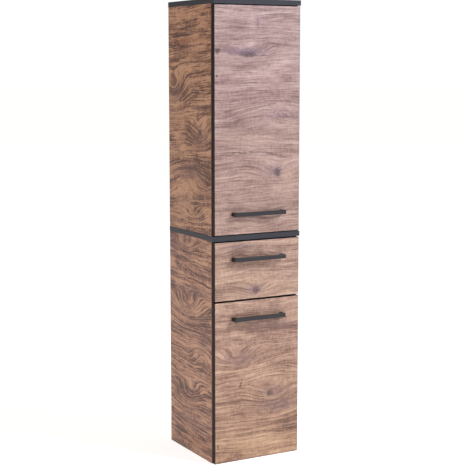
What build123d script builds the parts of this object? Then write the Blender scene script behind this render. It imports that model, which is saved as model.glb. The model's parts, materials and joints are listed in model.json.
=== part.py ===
"""Mid-height bathroom cabinet: two doors and a drawer between two black plates.

Millimetres, +Z up, front towards -Y. The origin is the middle of the footprint, handles included.
Both doors turn on cup hinges at the right-hand side, and the drawer runs on roller runners.
"""

import os
from math import atan2, degrees

from build123d import *

os.makedirs("parts", exist_ok=True)

# Overall sizes
cabinet_height = 1410.0
carcase_width = 300.0
cabinet_depth = 300.0
lower_height = 690.0
plate_overhang = 1.0

# Boards
side_thickness = 16.0
plate_thickness = 16.0
bottom_thickness = 16.0
divider_thickness = 16.0
shelf_thickness = 16.0
front_thickness = 16.0
back_thickness = 3.0
back_recess = 18.0
groove_depth = 5.0
groove_air = 0.2
plate_round = 0.6

# Fronts and the gaps round them
front_inset = 2.0
front_air = 1.5
door_reveal = 2.0
drawer_reveal = 3.0
front_gap = 4.0
door_lift = 1.0
drawer_front_height = 180.0
edging_thickness = 1.0
edging_chamfer = 0.4
bumper_radius = 4.0
bumper_thickness = 1.2
bumper_inset = 14.0

# Bow handles
handle_length = 180.0
handle_height = 12.0
handle_projection = 22.0
handle_bar = 10.0
handle_leg = 12.0
handle_corner = 2.5
handle_chamfer = 0.6
upper_handle_rise = 62.0
drawer_handle_drop = 54.0
lower_handle_drop = 54.0
handle_screw_radius = 2.0
handle_screw_head_radius = 4.0
handle_screw_head = 2.4
handle_screw_bite = 8.0
handle_hole_radius = 2.5
handle_thread_air = 0.1

# Cam joints and dowels
cam_radius = 7.3
cam_height = 12.0
cam_seat_radius = 7.5
cam_seat_depth = 12.5
cam_sink = 0.2
cam_setback = 24.0
cam_slot_width = 8.0
bolt_radius = 2.5
bolt_in_face = 7.0
bolt_head_radius = 3.4
bolt_head_length = 3.0
cam_front_setback = 42.0
cam_back_setback = 90.0
dowel_radius = 3.0
dowel_in_end = 18.0
dowel_in_face = 7.0
fastener_air = 0.1

# Sides of the small pieces and their bores, which are drawn as prisms
hidden_sides = 6
small_sides = 12
roller_sides = 24
cup_sides = 32

# Shelves and their pins
shelf_end_air = 1.4
shelf_front_setback = 12.0
shelf_back_air = 2.0
shelf_pitch = 32.0
shelf_pin_radius = 2.4
shelf_pin_hole_radius = 2.5
shelf_pin_in = 9.0
shelf_pin_hole_depth = 10.0
shelf_pin_out = 9.0
shelf_pin_rest_radius = 4.0
shelf_pin_setback = 37.0
first_upper_shelf = 214.0
second_upper_shelf = 438.0
lower_shelf_rise = 226.0

# Cup hinges, laid out in plan from the side panel's inner face and the door's right edge
door_swing = 95.0
outer_link_share = -0.23
inner_link_share = -0.25
hinge_from_door_end = 95.0
cup_from_edge = 20.5
cup_bore_radius = 17.5
cup_radius = 17.3
cup_wall = 0.9
cup_depth = 11.2
cup_bore_depth = 11.6
cup_flange_radius = 19.0
cup_flange = 1.0
cup_ear_spacing = 48.0
cup_ear_radius = 7.0
cup_ear_offset = 6.0
cup_screw_radius = 1.8
cup_screw_head_radius = 3.5
cup_screw_length = 11.0
cup_screw_head = 0.4
pivot_pin_radius = 0.9
pivot_air = 0.08
open_pivot_radius = 2.5
open_pivot_shift = (-0.06, -0.24)
outer_arm_pivot = (14.2, 19.7)
inner_arm_pivot = (29.5, 1.9)
outer_cup_pivot = (7.1, 3.7)
inner_cup_pivot = (12.6, 4.0)
link_sheet = 1.2
link_half = 1.3
link_eye_radius = 2.0
open_eye_wall = 0.6
outer_link_half_height = 2.2
inner_link_low = 2.8
arm_wall_low = 4.9
arm_sheet = 1.2
arm_length = 52.0
plate_base = 2.0
plate_length = 46.0
plate_from_front = 37.0
plate_half_height = 9.0
plate_wing_half_height = 23.0
plate_wing_length = 15.0
plate_screw_spacing = 32.0
plate_rib_height = 7.0
plate_rib_half_height = 4.4
plate_screw_radius = 2.5
plate_screw_head_radius = 4.2
plate_screw_head = 1.4
plate_screw_length = 11.0

# Drawer box
drawer_side_thickness = 12.0
drawer_box_height = 110.0
drawer_box_depth = 250.0
drawer_box_rise = 16.0
drawer_bottom_thickness = 3.0
drawer_bottom_rise = 8.0
drawer_groove_depth = 5.0
drawer_dowel_inset = 30.0
drawer_dowel_in_face = 7.0
drawer_travel = 185.0

# Roller runners
runner_space = 12.5
runner_sheet = 1.2
runner_flange = 8.3
runner_inner_height = 17.0
runner_length = 250.0
runner_front_setback = 1.5
runner_window = 21.0
front_roller_radius = 8.5
rear_roller_radius = 8.0
roller_width = 5.4
roller_web_air = 1.8
roller_pin_radius = 1.8
roller_bore_air = 0.15
roller_running_air = 0.3
roller_head_radius = 3.0
roller_head = 0.6
roller_from_end = 12.0
front_roller_rise = 0.5
drawer_flange_reach = 8.0
drawer_foot_reach = 9.0
runner_screw_radius = 1.6
runner_screw_head_radius = 3.2
runner_screw_head = 0.8
runner_screw_length = 12.0
runner_screw_setback = 60.0
runner_screw_spacing = 128.0

# Wall hangers
hanger_width = 15.0
hanger_depth = 50.0
hanger_height = 34.0
hanger_top_air = 6.0
hanger_peg_radius = 5.0
hanger_peg_length = 10.0
hanger_peg_inset = 12.0
hanger_back_air = 1.0
hanger_screw_radius = 3.0
hanger_screw_spacing = 16.0
hanger_screw_length = 8.0
hanger_screw_sink = 0.5
hook_thickness = 3.0
hook_height = 12.0
hook_air = 0.5
hook_tail = 30.0
hook_tooth_depth = 5.5
hook_tooth_drop = 10.0
hook_wall_air = 8.0
wall_plate_thickness = 2.2
wall_plate_width = 40.0
wall_plate_air = 1.0
wall_plate_drop = 36.0
wall_plate_lip = 8.0
wall_hole_radius = 2.75
wall_hole_spacing = 26.0
hook_seat_air = 0.4

# Places worked out from the sizes
half_width = carcase_width / 2
inner_half = half_width - side_thickness
side_middle = half_width - side_thickness / 2
plate_half = half_width + plate_overhang
rear_y = (cabinet_depth + handle_projection) / 2
face_y = rear_y - cabinet_depth
door_back_y = face_y + front_thickness
front_y = door_back_y + front_air
back_face_y = rear_y - back_recess - back_thickness
back_rear_y = rear_y - back_recess
upper_low = lower_height + plate_thickness
upper_high = cabinet_height - plate_thickness

front_half = half_width - front_inset
upper_door_low = upper_low + door_reveal
upper_door_high = upper_high - door_reveal
drawer_front_high = lower_height - drawer_reveal
drawer_front_low = drawer_front_high - drawer_front_height
lower_door_high = drawer_front_low - front_gap
lower_door_low = door_lift
divider_middle = drawer_front_low - front_gap / 2
divider_low = divider_middle - divider_thickness / 2
divider_high = divider_middle + divider_thickness / 2

upper_handle_z = upper_door_low + upper_handle_rise
drawer_handle_z = drawer_front_high - drawer_handle_drop
lower_handle_z = lower_door_high - lower_handle_drop
handle_screw_x = (handle_length - handle_leg) / 2

cam_rows = [front_y + cam_front_setback, back_face_y - cam_back_setback]
dowel_rows = [sum(cam_rows) / 2]

shelf_half = inner_half - shelf_end_air
shelf_front_y = front_y + shelf_front_setback
shelf_back_y = back_face_y - shelf_back_air
pin_rows = [shelf_front_y + shelf_pin_setback, shelf_back_y - shelf_pin_setback]
upper_pin_heights = [upper_low + first_upper_shelf, upper_low + second_upper_shelf]
lower_pin_heights = [bottom_thickness + lower_shelf_rise]

upper_hinge_heights = [upper_door_low + hinge_from_door_end, upper_door_high - hinge_from_door_end]
lower_hinge_heights = [lower_door_low + hinge_from_door_end, lower_door_high - hinge_from_door_end]
cup_x = front_half - cup_from_edge
cup_floor_y = door_back_y - cup_depth
hinge_screw_y = front_y + plate_from_front
A_OUTER = (inner_half - outer_arm_pivot[0], front_y + outer_arm_pivot[1])
A_INNER = (inner_half - inner_arm_pivot[0], front_y + inner_arm_pivot[1])
B_OUTER = (front_half - outer_cup_pivot[0], door_back_y - outer_cup_pivot[1])
B_INNER = (front_half - inner_cup_pivot[0], door_back_y - inner_cup_pivot[1])

drawer_half = inner_half - runner_space
drawer_inner_half = drawer_half - drawer_side_thickness
drawer_low = divider_high + drawer_box_rise
drawer_high = drawer_low + drawer_box_height
drawer_rear_y = door_back_y + drawer_box_depth
drawer_bottom_low = drawer_low + drawer_bottom_rise
drawer_bottom_high = drawer_bottom_low + drawer_bottom_thickness

runner_low = drawer_low - runner_sheet
runner_high = runner_low + runner_inner_height + 2 * runner_sheet
runner_front_y = front_y + runner_front_setback
runner_rear_y = runner_front_y + runner_length
front_roller_y = runner_front_y + front_roller_radius + 0.5
front_roller_z = runner_high + front_roller_rise - front_roller_radius
rear_roller_y = runner_rear_y - roller_from_end
rear_roller_z = runner_low + runner_sheet + roller_running_air + rear_roller_radius
drawer_flange_low = runner_high + front_roller_rise + roller_running_air
roller_outer_x = inner_half - runner_sheet - roller_web_air
roller_inner_x = roller_outer_x - roller_width

hanger_high = upper_high - hanger_top_air
hanger_low = hanger_high - hanger_height
hanger_rear_y = back_face_y - hanger_back_air
hook_x = inner_half - hanger_width / 2
hook_z = (hanger_low + hanger_high) / 2
hook_low = hook_z - hook_height / 2
hook_high = hook_z + hook_height / 2
hook_tip_y = rear_y - hook_wall_air
wall_seat_z = hook_high - hook_height - hook_tooth_drop - hook_seat_air


def finish(piece, name):
    """Labels a finished piece and writes its file."""
    piece.part.label = name
    export_step(piece.part, f"parts/{name}.step")


def facing(x, y, z, normal):
    """A plane at a point of a face, turned to the face's outward normal."""
    return Plane(origin=(x, y, z), z_dir=normal)


def end_planes(side, z, into, rows):
    """Planes where a side panel's end meets a plate; z_dir runs into the side panel."""
    return [Plane((side * side_middle, y, z), x_dir=(-side, 0, 0), z_dir=(0, 0, into)) for y in rows]


def board_planes(side, z, rows):
    """Planes where a level board meets a side panel; z_dir runs into the board."""
    return [Plane((side * inner_half, y, z), x_dir=(0, 0, -1), z_dir=(-side, 0, 0)) for y in rows]


def cam_places(planes, thickness):
    """Planes on the board's face above each cam's axis, with x_dir towards the joint."""
    return [
        Plane(p.origin + p.z_dir * cam_setback + p.x_dir * (thickness / 2), x_dir=-p.z_dir, z_dir=p.x_dir)
        for p in planes
    ]


def prism(radius, low, high, sides):
    """A small round piece drawn as a prism about z."""
    with BuildPart() as piece:
        with BuildSketch(Plane.XY.offset(low)):
            RegularPolygon(radius, sides)
        extrude(amount=high - low)
    return piece.part


def bore(planes, radius, depth, sides=hidden_sides):
    """Bores blind holes at planes on a board's face, drawn as prisms."""
    with Locations(*planes):
        add(prism(radius, -depth, depth, sides), mode=Mode.SUBTRACT)


def peg(planes, radius, inside, outside, sides=small_sides):
    """Adds prisms at planes, so far inside and outside the planes' face."""
    with Locations(*planes):
        add(prism(radius, -inside, outside, sides))


def bore_cam_seats(planes, thickness):
    """Bores the cam seats and the bolts' channels of the board that holds the cams."""
    bore(cam_places(planes, thickness), cam_seat_radius, cam_seat_depth, small_sides)
    bore(planes, bolt_radius + fastener_air, cam_setback)


top_cams = {side: end_planes(side, upper_high, -1, cam_rows) for side in (-1, 1)}
top_dowels = {side: end_planes(side, upper_high, -1, dowel_rows) for side in (-1, 1)}
upper_cams = {side: end_planes(side, upper_low, 1, cam_rows) for side in (-1, 1)}
upper_dowels = {side: end_planes(side, upper_low, 1, dowel_rows) for side in (-1, 1)}
lower_cams = {side: end_planes(side, lower_height, -1, cam_rows) for side in (-1, 1)}
lower_dowels = {side: end_planes(side, lower_height, -1, dowel_rows) for side in (-1, 1)}
bottom_cams = {side: board_planes(side, bottom_thickness / 2, cam_rows) for side in (-1, 1)}
bottom_dowels = {side: board_planes(side, bottom_thickness / 2, dowel_rows) for side in (-1, 1)}
divider_cams = {side: board_planes(side, divider_middle, cam_rows) for side in (-1, 1)}
divider_dowels = {side: board_planes(side, divider_middle, dowel_rows) for side in (-1, 1)}


def both(planes):
    """The planes of the left and the right side in one list."""
    return planes[-1] + planes[1]


# Black plates
def plate(name, low, seats, bolt_depth, dowels, grooved_below, grooved_above):
    """A full-depth plate whose grooves take the back panels that meet it."""
    with BuildPart() as board:
        with Locations((0, (face_y + rear_y) / 2, low + plate_thickness / 2)):
            Box(2 * plate_half, cabinet_depth, plate_thickness)
        chamfer(board.edges(), plate_round)
        for z, cut in ((low, grooved_below), (low + plate_thickness, grooved_above)):
            if cut:
                with Locations((0, back_face_y + back_thickness / 2, z)):
                    Box(
                        2 * (inner_half + groove_depth),
                        back_thickness + 2 * groove_air,
                        2 * groove_depth,
                        mode=Mode.SUBTRACT,
                    )
        bore(seats, bolt_radius + fastener_air, bolt_depth)
        bore(dowels, dowel_radius + fastener_air, dowel_in_face + fastener_air)
    finish(board, name)


plate("top_plate", upper_high, both(top_cams), bolt_in_face + fastener_air, both(top_dowels), True, False)
plate(
    "middle_plate",
    lower_height,
    both(lower_cams),
    plate_thickness + fastener_air,
    both(lower_dowels) + both(upper_dowels),
    True,
    True,
)


# Side panels
def side_panel(name, side, low, high, end_cams, end_dowels, board_cams, board_dowels, pin_heights):
    """An upright board with its groove, joint bores and rows of shelf pin holes."""
    inward = (-side, 0, 0)
    with BuildPart() as board:
        with Locations((side * side_middle, (front_y + rear_y) / 2, (low + high) / 2)):
            Box(side_thickness, rear_y - front_y, high - low)
        with Locations((side * inner_half, back_face_y + back_thickness / 2, (low + high) / 2)):
            Box(2 * groove_depth, back_thickness + 2 * groove_air, high - low, mode=Mode.SUBTRACT)
        bore_cam_seats(end_cams, side_thickness)
        bore(end_dowels, dowel_radius + fastener_air, dowel_in_end + fastener_air)
        if board_cams:
            bore(board_cams, bolt_radius + fastener_air, bolt_in_face + fastener_air)
            bore(board_dowels, dowel_radius + fastener_air, dowel_in_face + fastener_air)
        steps = (-shelf_pitch, 0, shelf_pitch)
        holes = pin_places(side, [z + step for z in pin_heights for step in steps])
        bore(holes, shelf_pin_hole_radius, shelf_pin_hole_depth)
        if side > 0:
            heights = upper_hinge_heights if low > lower_height else lower_hinge_heights
            screws = [
                facing(inner_half, hinge_screw_y, z + half * plate_screw_spacing / 2, inward)
                for z in heights
                for half in (-1, 1)
            ]
            bore(screws, plate_screw_radius + fastener_air, plate_screw_length)
        if low > lower_height:
            bore(hanger_peg_planes(side), hanger_peg_radius + fastener_air, hanger_peg_length + fastener_air)
        else:
            bore(runner_screw_planes(side), runner_screw_radius + fastener_air, runner_screw_length)
    finish(board, name)


def pin_places(side, heights):
    """Where shelf pins enter a side panel, with y of each plane towards the floor or the ceiling."""
    return [
        Plane((side * inner_half, y, z), x_dir=(0, -side, 0), z_dir=(-side, 0, 0)) for y in pin_rows for z in heights
    ]


def hanger_peg_planes(side):
    """Where a wall hanger's pegs enter the side panel."""
    middle = hanger_rear_y - hanger_depth / 2
    reach = hanger_depth / 2 - hanger_peg_inset
    return [facing(side * inner_half, middle + end * reach, hook_z, (-side, 0, 0)) for end in (-1, 1)]


def runner_screw_planes(side):
    """Where a runner's screws enter the side panel."""
    first = runner_front_y + runner_screw_setback
    return [
        facing(side * inner_half, first + i * runner_screw_spacing, rear_roller_z, (-side, 0, 0)) for i in range(2)
    ]


for side, hand in ((-1, "left"), (1, "right")):
    side_panel(
        f"upper_side_{hand}",
        side,
        upper_low,
        upper_high,
        top_cams[side] + upper_cams[side],
        top_dowels[side] + upper_dowels[side],
        [],
        [],
        upper_pin_heights,
    )
    side_panel(
        f"lower_side_{hand}",
        side,
        0,
        lower_height,
        lower_cams[side],
        lower_dowels[side],
        bottom_cams[side] + divider_cams[side],
        bottom_dowels[side] + divider_dowels[side],
        lower_pin_heights,
    )

# Bottom panel, grooved for the back panel
with BuildPart() as bottom_panel:
    with Locations((0, (front_y + rear_y) / 2, bottom_thickness / 2)):
        Box(2 * inner_half, rear_y - front_y, bottom_thickness)
    with Locations((0, back_face_y + back_thickness / 2, bottom_thickness)):
        Box(2 * inner_half, back_thickness + 2 * groove_air, 2 * groove_depth, mode=Mode.SUBTRACT)
    bore_cam_seats(both(bottom_cams), bottom_thickness)
    bore(both(bottom_dowels), dowel_radius + fastener_air, dowel_in_end + fastener_air)
finish(bottom_panel, "bottom_panel")

# Fixed shelf under the drawer
with BuildPart() as divider_shelf:
    with Locations((0, (front_y + shelf_back_y) / 2, divider_middle)):
        Box(2 * inner_half, shelf_back_y - front_y, divider_thickness)
    bore_cam_seats(both(divider_cams), divider_thickness)
    bore(both(divider_dowels), dowel_radius + fastener_air, dowel_in_end + fastener_air)
finish(divider_shelf, "divider_shelf")


# Back panels
def back_panel(name, low, high, hook_slots):
    """A thin panel held in the grooves, with slots for the hooks where it has them."""
    reach = groove_depth - groove_air
    with BuildPart() as board:
        with Locations((0, back_face_y + back_thickness / 2, (low + high) / 2)):
            Box(2 * (inner_half + reach), back_thickness, high - low + 2 * reach)
        if hook_slots:
            with Locations((-hook_x, back_face_y, hook_z), (hook_x, back_face_y, hook_z)):
                Box(hook_thickness + 6, 4 * back_thickness, hook_height + 6, mode=Mode.SUBTRACT)
    finish(board, name)


back_panel("upper_back_panel", upper_low, upper_high, True)
back_panel("lower_back_panel", bottom_thickness, lower_height, False)


# Loose shelves
def shelf(name, pin_height):
    """A loose board that lies on four pins."""
    low = pin_height + shelf_pin_radius
    with BuildPart() as board:
        with Locations((0, (shelf_front_y + shelf_back_y) / 2, low + shelf_thickness / 2)):
            Box(2 * shelf_half, shelf_back_y - shelf_front_y, shelf_thickness)
        chamfer(board.edges().filter_by(Axis.X).group_by(Axis.Y)[0], plate_round)
    finish(board, name)


shelf("upper_shelf_low", upper_pin_heights[0])
shelf("upper_shelf_high", upper_pin_heights[1])
shelf("lower_shelf", lower_pin_heights[0])

# Shelf pins: a stem in the side panel and a half-round rest under the shelf
with BuildPart() as one_pin:
    with BuildSketch(Plane.XY.offset(-shelf_pin_in)):
        RegularPolygon(shelf_pin_radius, hidden_sides)
    extrude(amount=shelf_pin_in)
    with BuildSketch():
        RegularPolygon(shelf_pin_rest_radius, small_sides)
        with Locations((0, shelf_pin_radius)):
            Rectangle(
                2 * shelf_pin_rest_radius,
                2 * shelf_pin_rest_radius,
                align=(Align.CENTER, Align.MIN),
                mode=Mode.SUBTRACT,
            )
    extrude(amount=shelf_pin_out)

with BuildPart() as shelf_pins:
    with Locations(*[place for side in (-1, 1) for place in pin_places(side, upper_pin_heights + lower_pin_heights)]):
        add(one_pin.part)
finish(shelf_pins, "shelf_pins")

# Cam locks: a drum with a slot that takes the bolt's head from the joint's side
with BuildPart() as one_cam:
    with BuildSketch(Plane.XY.offset(-cam_height)):
        RegularPolygon(cam_radius, small_sides)
    extrude(amount=cam_height)
    with Locations((-bolt_head_length, 0, cam_sink - side_thickness / 2)):
        Box(
            2 * cam_radius,
            cam_slot_width,
            cam_slot_width,
            align=(Align.MIN, Align.CENTER, Align.CENTER),
            mode=Mode.SUBTRACT,
        )

cam_stations = [
    (both(top_cams) + both(upper_cams) + both(lower_cams), side_thickness),
    (both(bottom_cams), bottom_thickness),
    (both(divider_cams), divider_thickness),
]
with BuildPart() as cam_locks:
    for planes, thickness in cam_stations:
        with Locations(*[place.offset(-cam_sink) for place in cam_places(planes, thickness)]):
            add(one_cam.part)
finish(cam_locks, "cam_locks")


# Cam bolts: most screw into a board, and those of the middle plate have a head at each end
def bolt_shape(tail, heads):
    """A bolt along z whose heads lie at the given distances."""
    with BuildPart() as bolt:
        with BuildSketch(Plane.XY.offset(-tail)):
            RegularPolygon(bolt_radius, hidden_sides)
        extrude(amount=tail + cam_setback)
        for z in heads:
            with BuildSketch(Plane.XY.offset(z - bolt_head_length / 2)):
                RegularPolygon(bolt_head_radius, hidden_sides)
            extrude(amount=bolt_head_length)
    return bolt.part


through_tail = plate_thickness + cam_setback
single_bolt = bolt_shape(bolt_in_face, [cam_setback])
double_bolt = bolt_shape(through_tail, [cam_setback, -through_tail])
with BuildPart() as cam_bolts:
    with Locations(*(both(top_cams) + both(bottom_cams) + both(divider_cams))):
        add(single_bolt)
    with Locations(*both(lower_cams)):
        add(double_bolt)
finish(cam_bolts, "cam_bolts")

# Dowels
with BuildPart() as dowels:
    for planes in (top_dowels, upper_dowels, lower_dowels, bottom_dowels, divider_dowels):
        peg(both(planes), dowel_radius, dowel_in_face, dowel_in_end, hidden_sides)
finish(dowels, "dowels")

# Bumpers between the fronts and the carcase
bumper_heights = [
    upper_door_low + bumper_inset,
    upper_door_high - bumper_inset,
    lower_door_low + bumper_inset,
    lower_door_high - bumper_inset,
    drawer_front_high - bumper_inset,
]
with BuildPart() as front_bumpers:
    places = [facing(-side_middle, front_y, z, (0, -1, 0)) for z in bumper_heights]
    places.append(facing(side_middle, front_y, bumper_heights[-1], (0, -1, 0)))
    peg(places, bumper_radius, 0, bumper_thickness)
finish(front_bumpers, "front_bumpers")


# Fronts: a board with an edging band, a handle and its screws
def front_board(name, low, high, handle_z, cup_heights, with_drawer):
    """A front's board, bored for its handle and for hinge cups or a drawer box."""
    outward = (0, 1, 0)
    with BuildPart() as board:
        with Locations((0, (face_y + door_back_y) / 2, (low + high) / 2)):
            Box(2 * (front_half - edging_thickness), front_thickness, high - low - 2 * edging_thickness)
        bore(
            [facing(end * handle_screw_x, door_back_y, handle_z, outward) for end in (-1, 1)],
            handle_hole_radius,
            front_thickness + 1,
        )
        if cup_heights:
            cups = [facing(cup_x, door_back_y, z, outward) for z in cup_heights]
            bore(cups, cup_bore_radius, cup_bore_depth, cup_sides)
            bore(cup_screw_planes(cup_heights), cup_screw_radius + fastener_air, cup_screw_length)
        if with_drawer:
            with Locations((0, door_back_y, (drawer_bottom_low + drawer_bottom_high) / 2)):
                Box(
                    2 * (drawer_inner_half + drawer_groove_depth),
                    2 * drawer_groove_depth,
                    drawer_bottom_thickness + 2 * groove_air,
                    mode=Mode.SUBTRACT,
                )
            bore(drawer_front_dowels, dowel_radius + fastener_air, drawer_dowel_in_face + fastener_air)
    finish(board, name)


def cup_screw_planes(heights):
    """Where the cup's screws enter the door, on its back face."""
    return [
        facing(cup_x - cup_ear_offset, door_back_y, z + half * cup_ear_spacing / 2, (0, 1, 0))
        for z in heights
        for half in (-1, 1)
    ]


def edging(name, low, high):
    """The band of edging strips round a front, chamfered at the face."""
    with BuildPart() as band:
        with BuildSketch(Plane.XZ.offset(-door_back_y)):
            with Locations((0, (low + high) / 2)):
                Rectangle(2 * front_half, high - low)
                Rectangle(
                    2 * (front_half - edging_thickness),
                    high - low - 2 * edging_thickness,
                    mode=Mode.SUBTRACT,
                )
        extrude(amount=front_thickness)
        chamfer(band.faces().sort_by(Axis.Y)[0].outer_wire().edges(), edging_chamfer)
    finish(band, name)


def bow_handle(name, z):
    """A flat bow with a leg at each end, both tapped from behind."""
    bar_y = face_y - handle_projection
    with BuildPart() as handle:
        with BuildSketch(Plane.XY.offset(z - handle_height / 2)) as outline:
            with Locations((0, bar_y)):
                Rectangle(handle_length, handle_projection, align=(Align.CENTER, Align.MIN))
            with Locations((0, bar_y + handle_bar)):
                Rectangle(
                    handle_length - 2 * handle_leg,
                    handle_projection,
                    align=(Align.CENTER, Align.MIN),
                    mode=Mode.SUBTRACT,
                )
            fillet(outline.vertices().group_by(Axis.Y)[0], handle_corner)
        extrude(amount=handle_height)
        rims = handle.faces().filter_by(Axis.Z)
        chamfer(rims.edges().filter_by(lambda edge: edge.center().Y < face_y - 1), handle_chamfer)
        bore(
            [facing(end * handle_screw_x, face_y, z, (0, 1, 0)) for end in (-1, 1)],
            handle_screw_radius + handle_thread_air,
            handle_screw_bite + 1,
        )
    finish(handle, name)


def handle_screws(name, z):
    """The two screws that hold a handle from behind its front."""
    places = [facing(end * handle_screw_x, door_back_y, z, (0, 1, 0)) for end in (-1, 1)]
    with BuildPart() as screws:
        peg(places, handle_screw_radius, front_thickness + handle_screw_bite, 0, hidden_sides)
        peg(places, handle_screw_head_radius, 0, handle_screw_head)
    finish(screws, name)


drawer_dowel_heights = [drawer_low + drawer_dowel_inset, drawer_high - drawer_dowel_inset]
drawer_side_middle = drawer_half - drawer_side_thickness / 2
drawer_back_y = drawer_rear_y - drawer_side_thickness / 2
drawer_front_dowels = [
    facing(side * drawer_side_middle, door_back_y, z, (0, 1, 0)) for side in (-1, 1) for z in drawer_dowel_heights
]
drawer_back_dowels = [
    facing(side * drawer_inner_half, drawer_back_y, z, (-side, 0, 0))
    for side in (-1, 1)
    for z in drawer_dowel_heights
]

front_board("upper_door", upper_door_low, upper_door_high, upper_handle_z, upper_hinge_heights, False)
front_board("lower_door", lower_door_low, lower_door_high, lower_handle_z, lower_hinge_heights, False)
front_board("drawer_front", drawer_front_low, drawer_front_high, drawer_handle_z, [], True)
edging("upper_door_edging", upper_door_low, upper_door_high)
edging("lower_door_edging", lower_door_low, lower_door_high)
edging("drawer_front_edging", drawer_front_low, drawer_front_high)
for front, height in (("upper_door", upper_handle_z), ("drawer", drawer_handle_z), ("lower_door", lower_handle_z)):
    bow_handle(f"{front}_handle", height)
    handle_screws(f"{front}_handle_screws", height)


# Cup hinges, each drawn at height nought and then set at its own height
def rod(point, low, high, radius=pivot_pin_radius):
    """An upright pivot pin at a point in plan."""
    with Locations((*point, 0)):
        add(prism(radius, low, high, small_sides))


def at_heights(name, piece, heights):
    """Sets copies of a hinge's piece at the heights of its hinges."""
    with BuildPart() as group:
        with Locations(*[(0, 0, z) for z in heights]):
            add(piece)
    finish(group, name)


def turned(origin, vector, angle):
    """A point at a vector from an origin, once the vector has turned in plan."""
    swung = Vector(*vector).rotate(Axis.Z, angle)
    return (origin[0] + swung.X, origin[1] + swung.Y)


def link_plate(route, eyes, low, high):
    """A bent link in plan with eyes, given as a centre, an outer radius and a bore's radius."""
    with BuildPart() as plate_:
        with BuildSketch(Plane.XY.offset(low)):
            for start, end in zip(route, route[1:]):
                run = Vector(*end) - Vector(*start)
                middle = (Vector(*start) + Vector(*end)) / 2
                with Locations(Location((middle.X, middle.Y), degrees(atan2(run.Y, run.X)))):
                    Rectangle(run.length, 2 * link_half)
            for bend in route[1:-1]:
                with Locations(bend):
                    RegularPolygon(link_half, hidden_sides)
            for centre, outside, _ in eyes:
                with Locations(centre):
                    RegularPolygon(outside, small_sides)
            for centre, _, inside in eyes:
                with Locations(centre):
                    RegularPolygon(inside, small_sides, mode=Mode.SUBTRACT)
        extrude(amount=high - low)
    return plate_.part


outer_turn = door_swing * (1 - outer_link_share)
rim_clear = 6.5
edge_clear = (9.1, 6.8)
outer_knee = turned(B_OUTER, (0.1, rim_clear), outer_turn)
outer_bend = turned(B_OUTER, edge_clear, outer_turn)
inner_bend = (A_INNER[0] + 9.0, A_INNER[1] + 0.4)
open_eye = (B_INNER[0] + open_pivot_shift[0], B_INNER[1] + open_pivot_shift[1])
pin_bore = pivot_pin_radius + pivot_air


def cup_pin_reach(pivot):
    """How far a pin at a pivot reaches up and down before it ends in the cup's wall."""
    across = pivot[0] + pivot_pin_radius - cup_x
    return (cup_radius**2 - across**2) ** 0.5


with BuildPart() as one_cup:
    peg([facing(cup_x, cup_floor_y, 0, (0, 1, 0))], cup_radius, 0, cup_depth, cup_sides)
    with BuildSketch(Plane.XZ.offset(-door_back_y)):
        with Locations((cup_x, 0)):
            RegularPolygon(cup_flange_radius, cup_sides)
        with Locations((cup_x - cup_ear_offset, 0)):
            Rectangle(2 * cup_ear_radius, cup_ear_spacing + 2 * cup_ear_radius)
    extrude(amount=-cup_flange)
    ear_ends = one_cup.edges().filter_by(Axis.Y).filter_by(lambda edge: abs(edge.center().Z) > cup_ear_spacing / 2)
    chamfer(ear_ends, cup_ear_radius / 2)
    with Locations(facing(cup_x, cup_floor_y + cup_wall, 0, (0, 1, 0))):
        add(prism(cup_radius - cup_wall, 0, cup_depth + cup_flange, cup_sides), mode=Mode.SUBTRACT)
    bore(cup_screw_planes([0]), cup_screw_radius + fastener_air, 2 * cup_flange)
    reach = cup_pin_reach(B_OUTER)
    rod(B_OUTER, -reach, reach)
    stub = inner_link_low - 0.2
    reach = cup_pin_reach(B_INNER)
    rod(B_INNER, stub, reach)
    rod(B_INNER, -reach, -stub)

outer_link = link_plate(
    [A_OUTER, outer_bend, outer_knee, B_OUTER],
    [(A_OUTER, link_eye_radius, pin_bore), (B_OUTER, link_eye_radius, pin_bore)],
    -outer_link_half_height,
    outer_link_half_height,
)

with BuildPart() as one_inner_link:
    for low in (inner_link_low, -inner_link_low - link_sheet):
        add(
            link_plate(
                [A_INNER, inner_bend, open_eye],
                [
                    (A_INNER, link_eye_radius, pin_bore),
                    (open_eye, open_pivot_radius + open_eye_wall, open_pivot_radius),
                ],
                low,
                low + link_sheet,
            )
        )
    rod(A_INNER, -inner_link_low, inner_link_low, link_eye_radius)
    pin_way = inner_link_low + link_sheet
    with Locations((*A_INNER, 0)):
        add(prism(pin_bore, -pin_way, pin_way, small_sides), mode=Mode.SUBTRACT)

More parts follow.
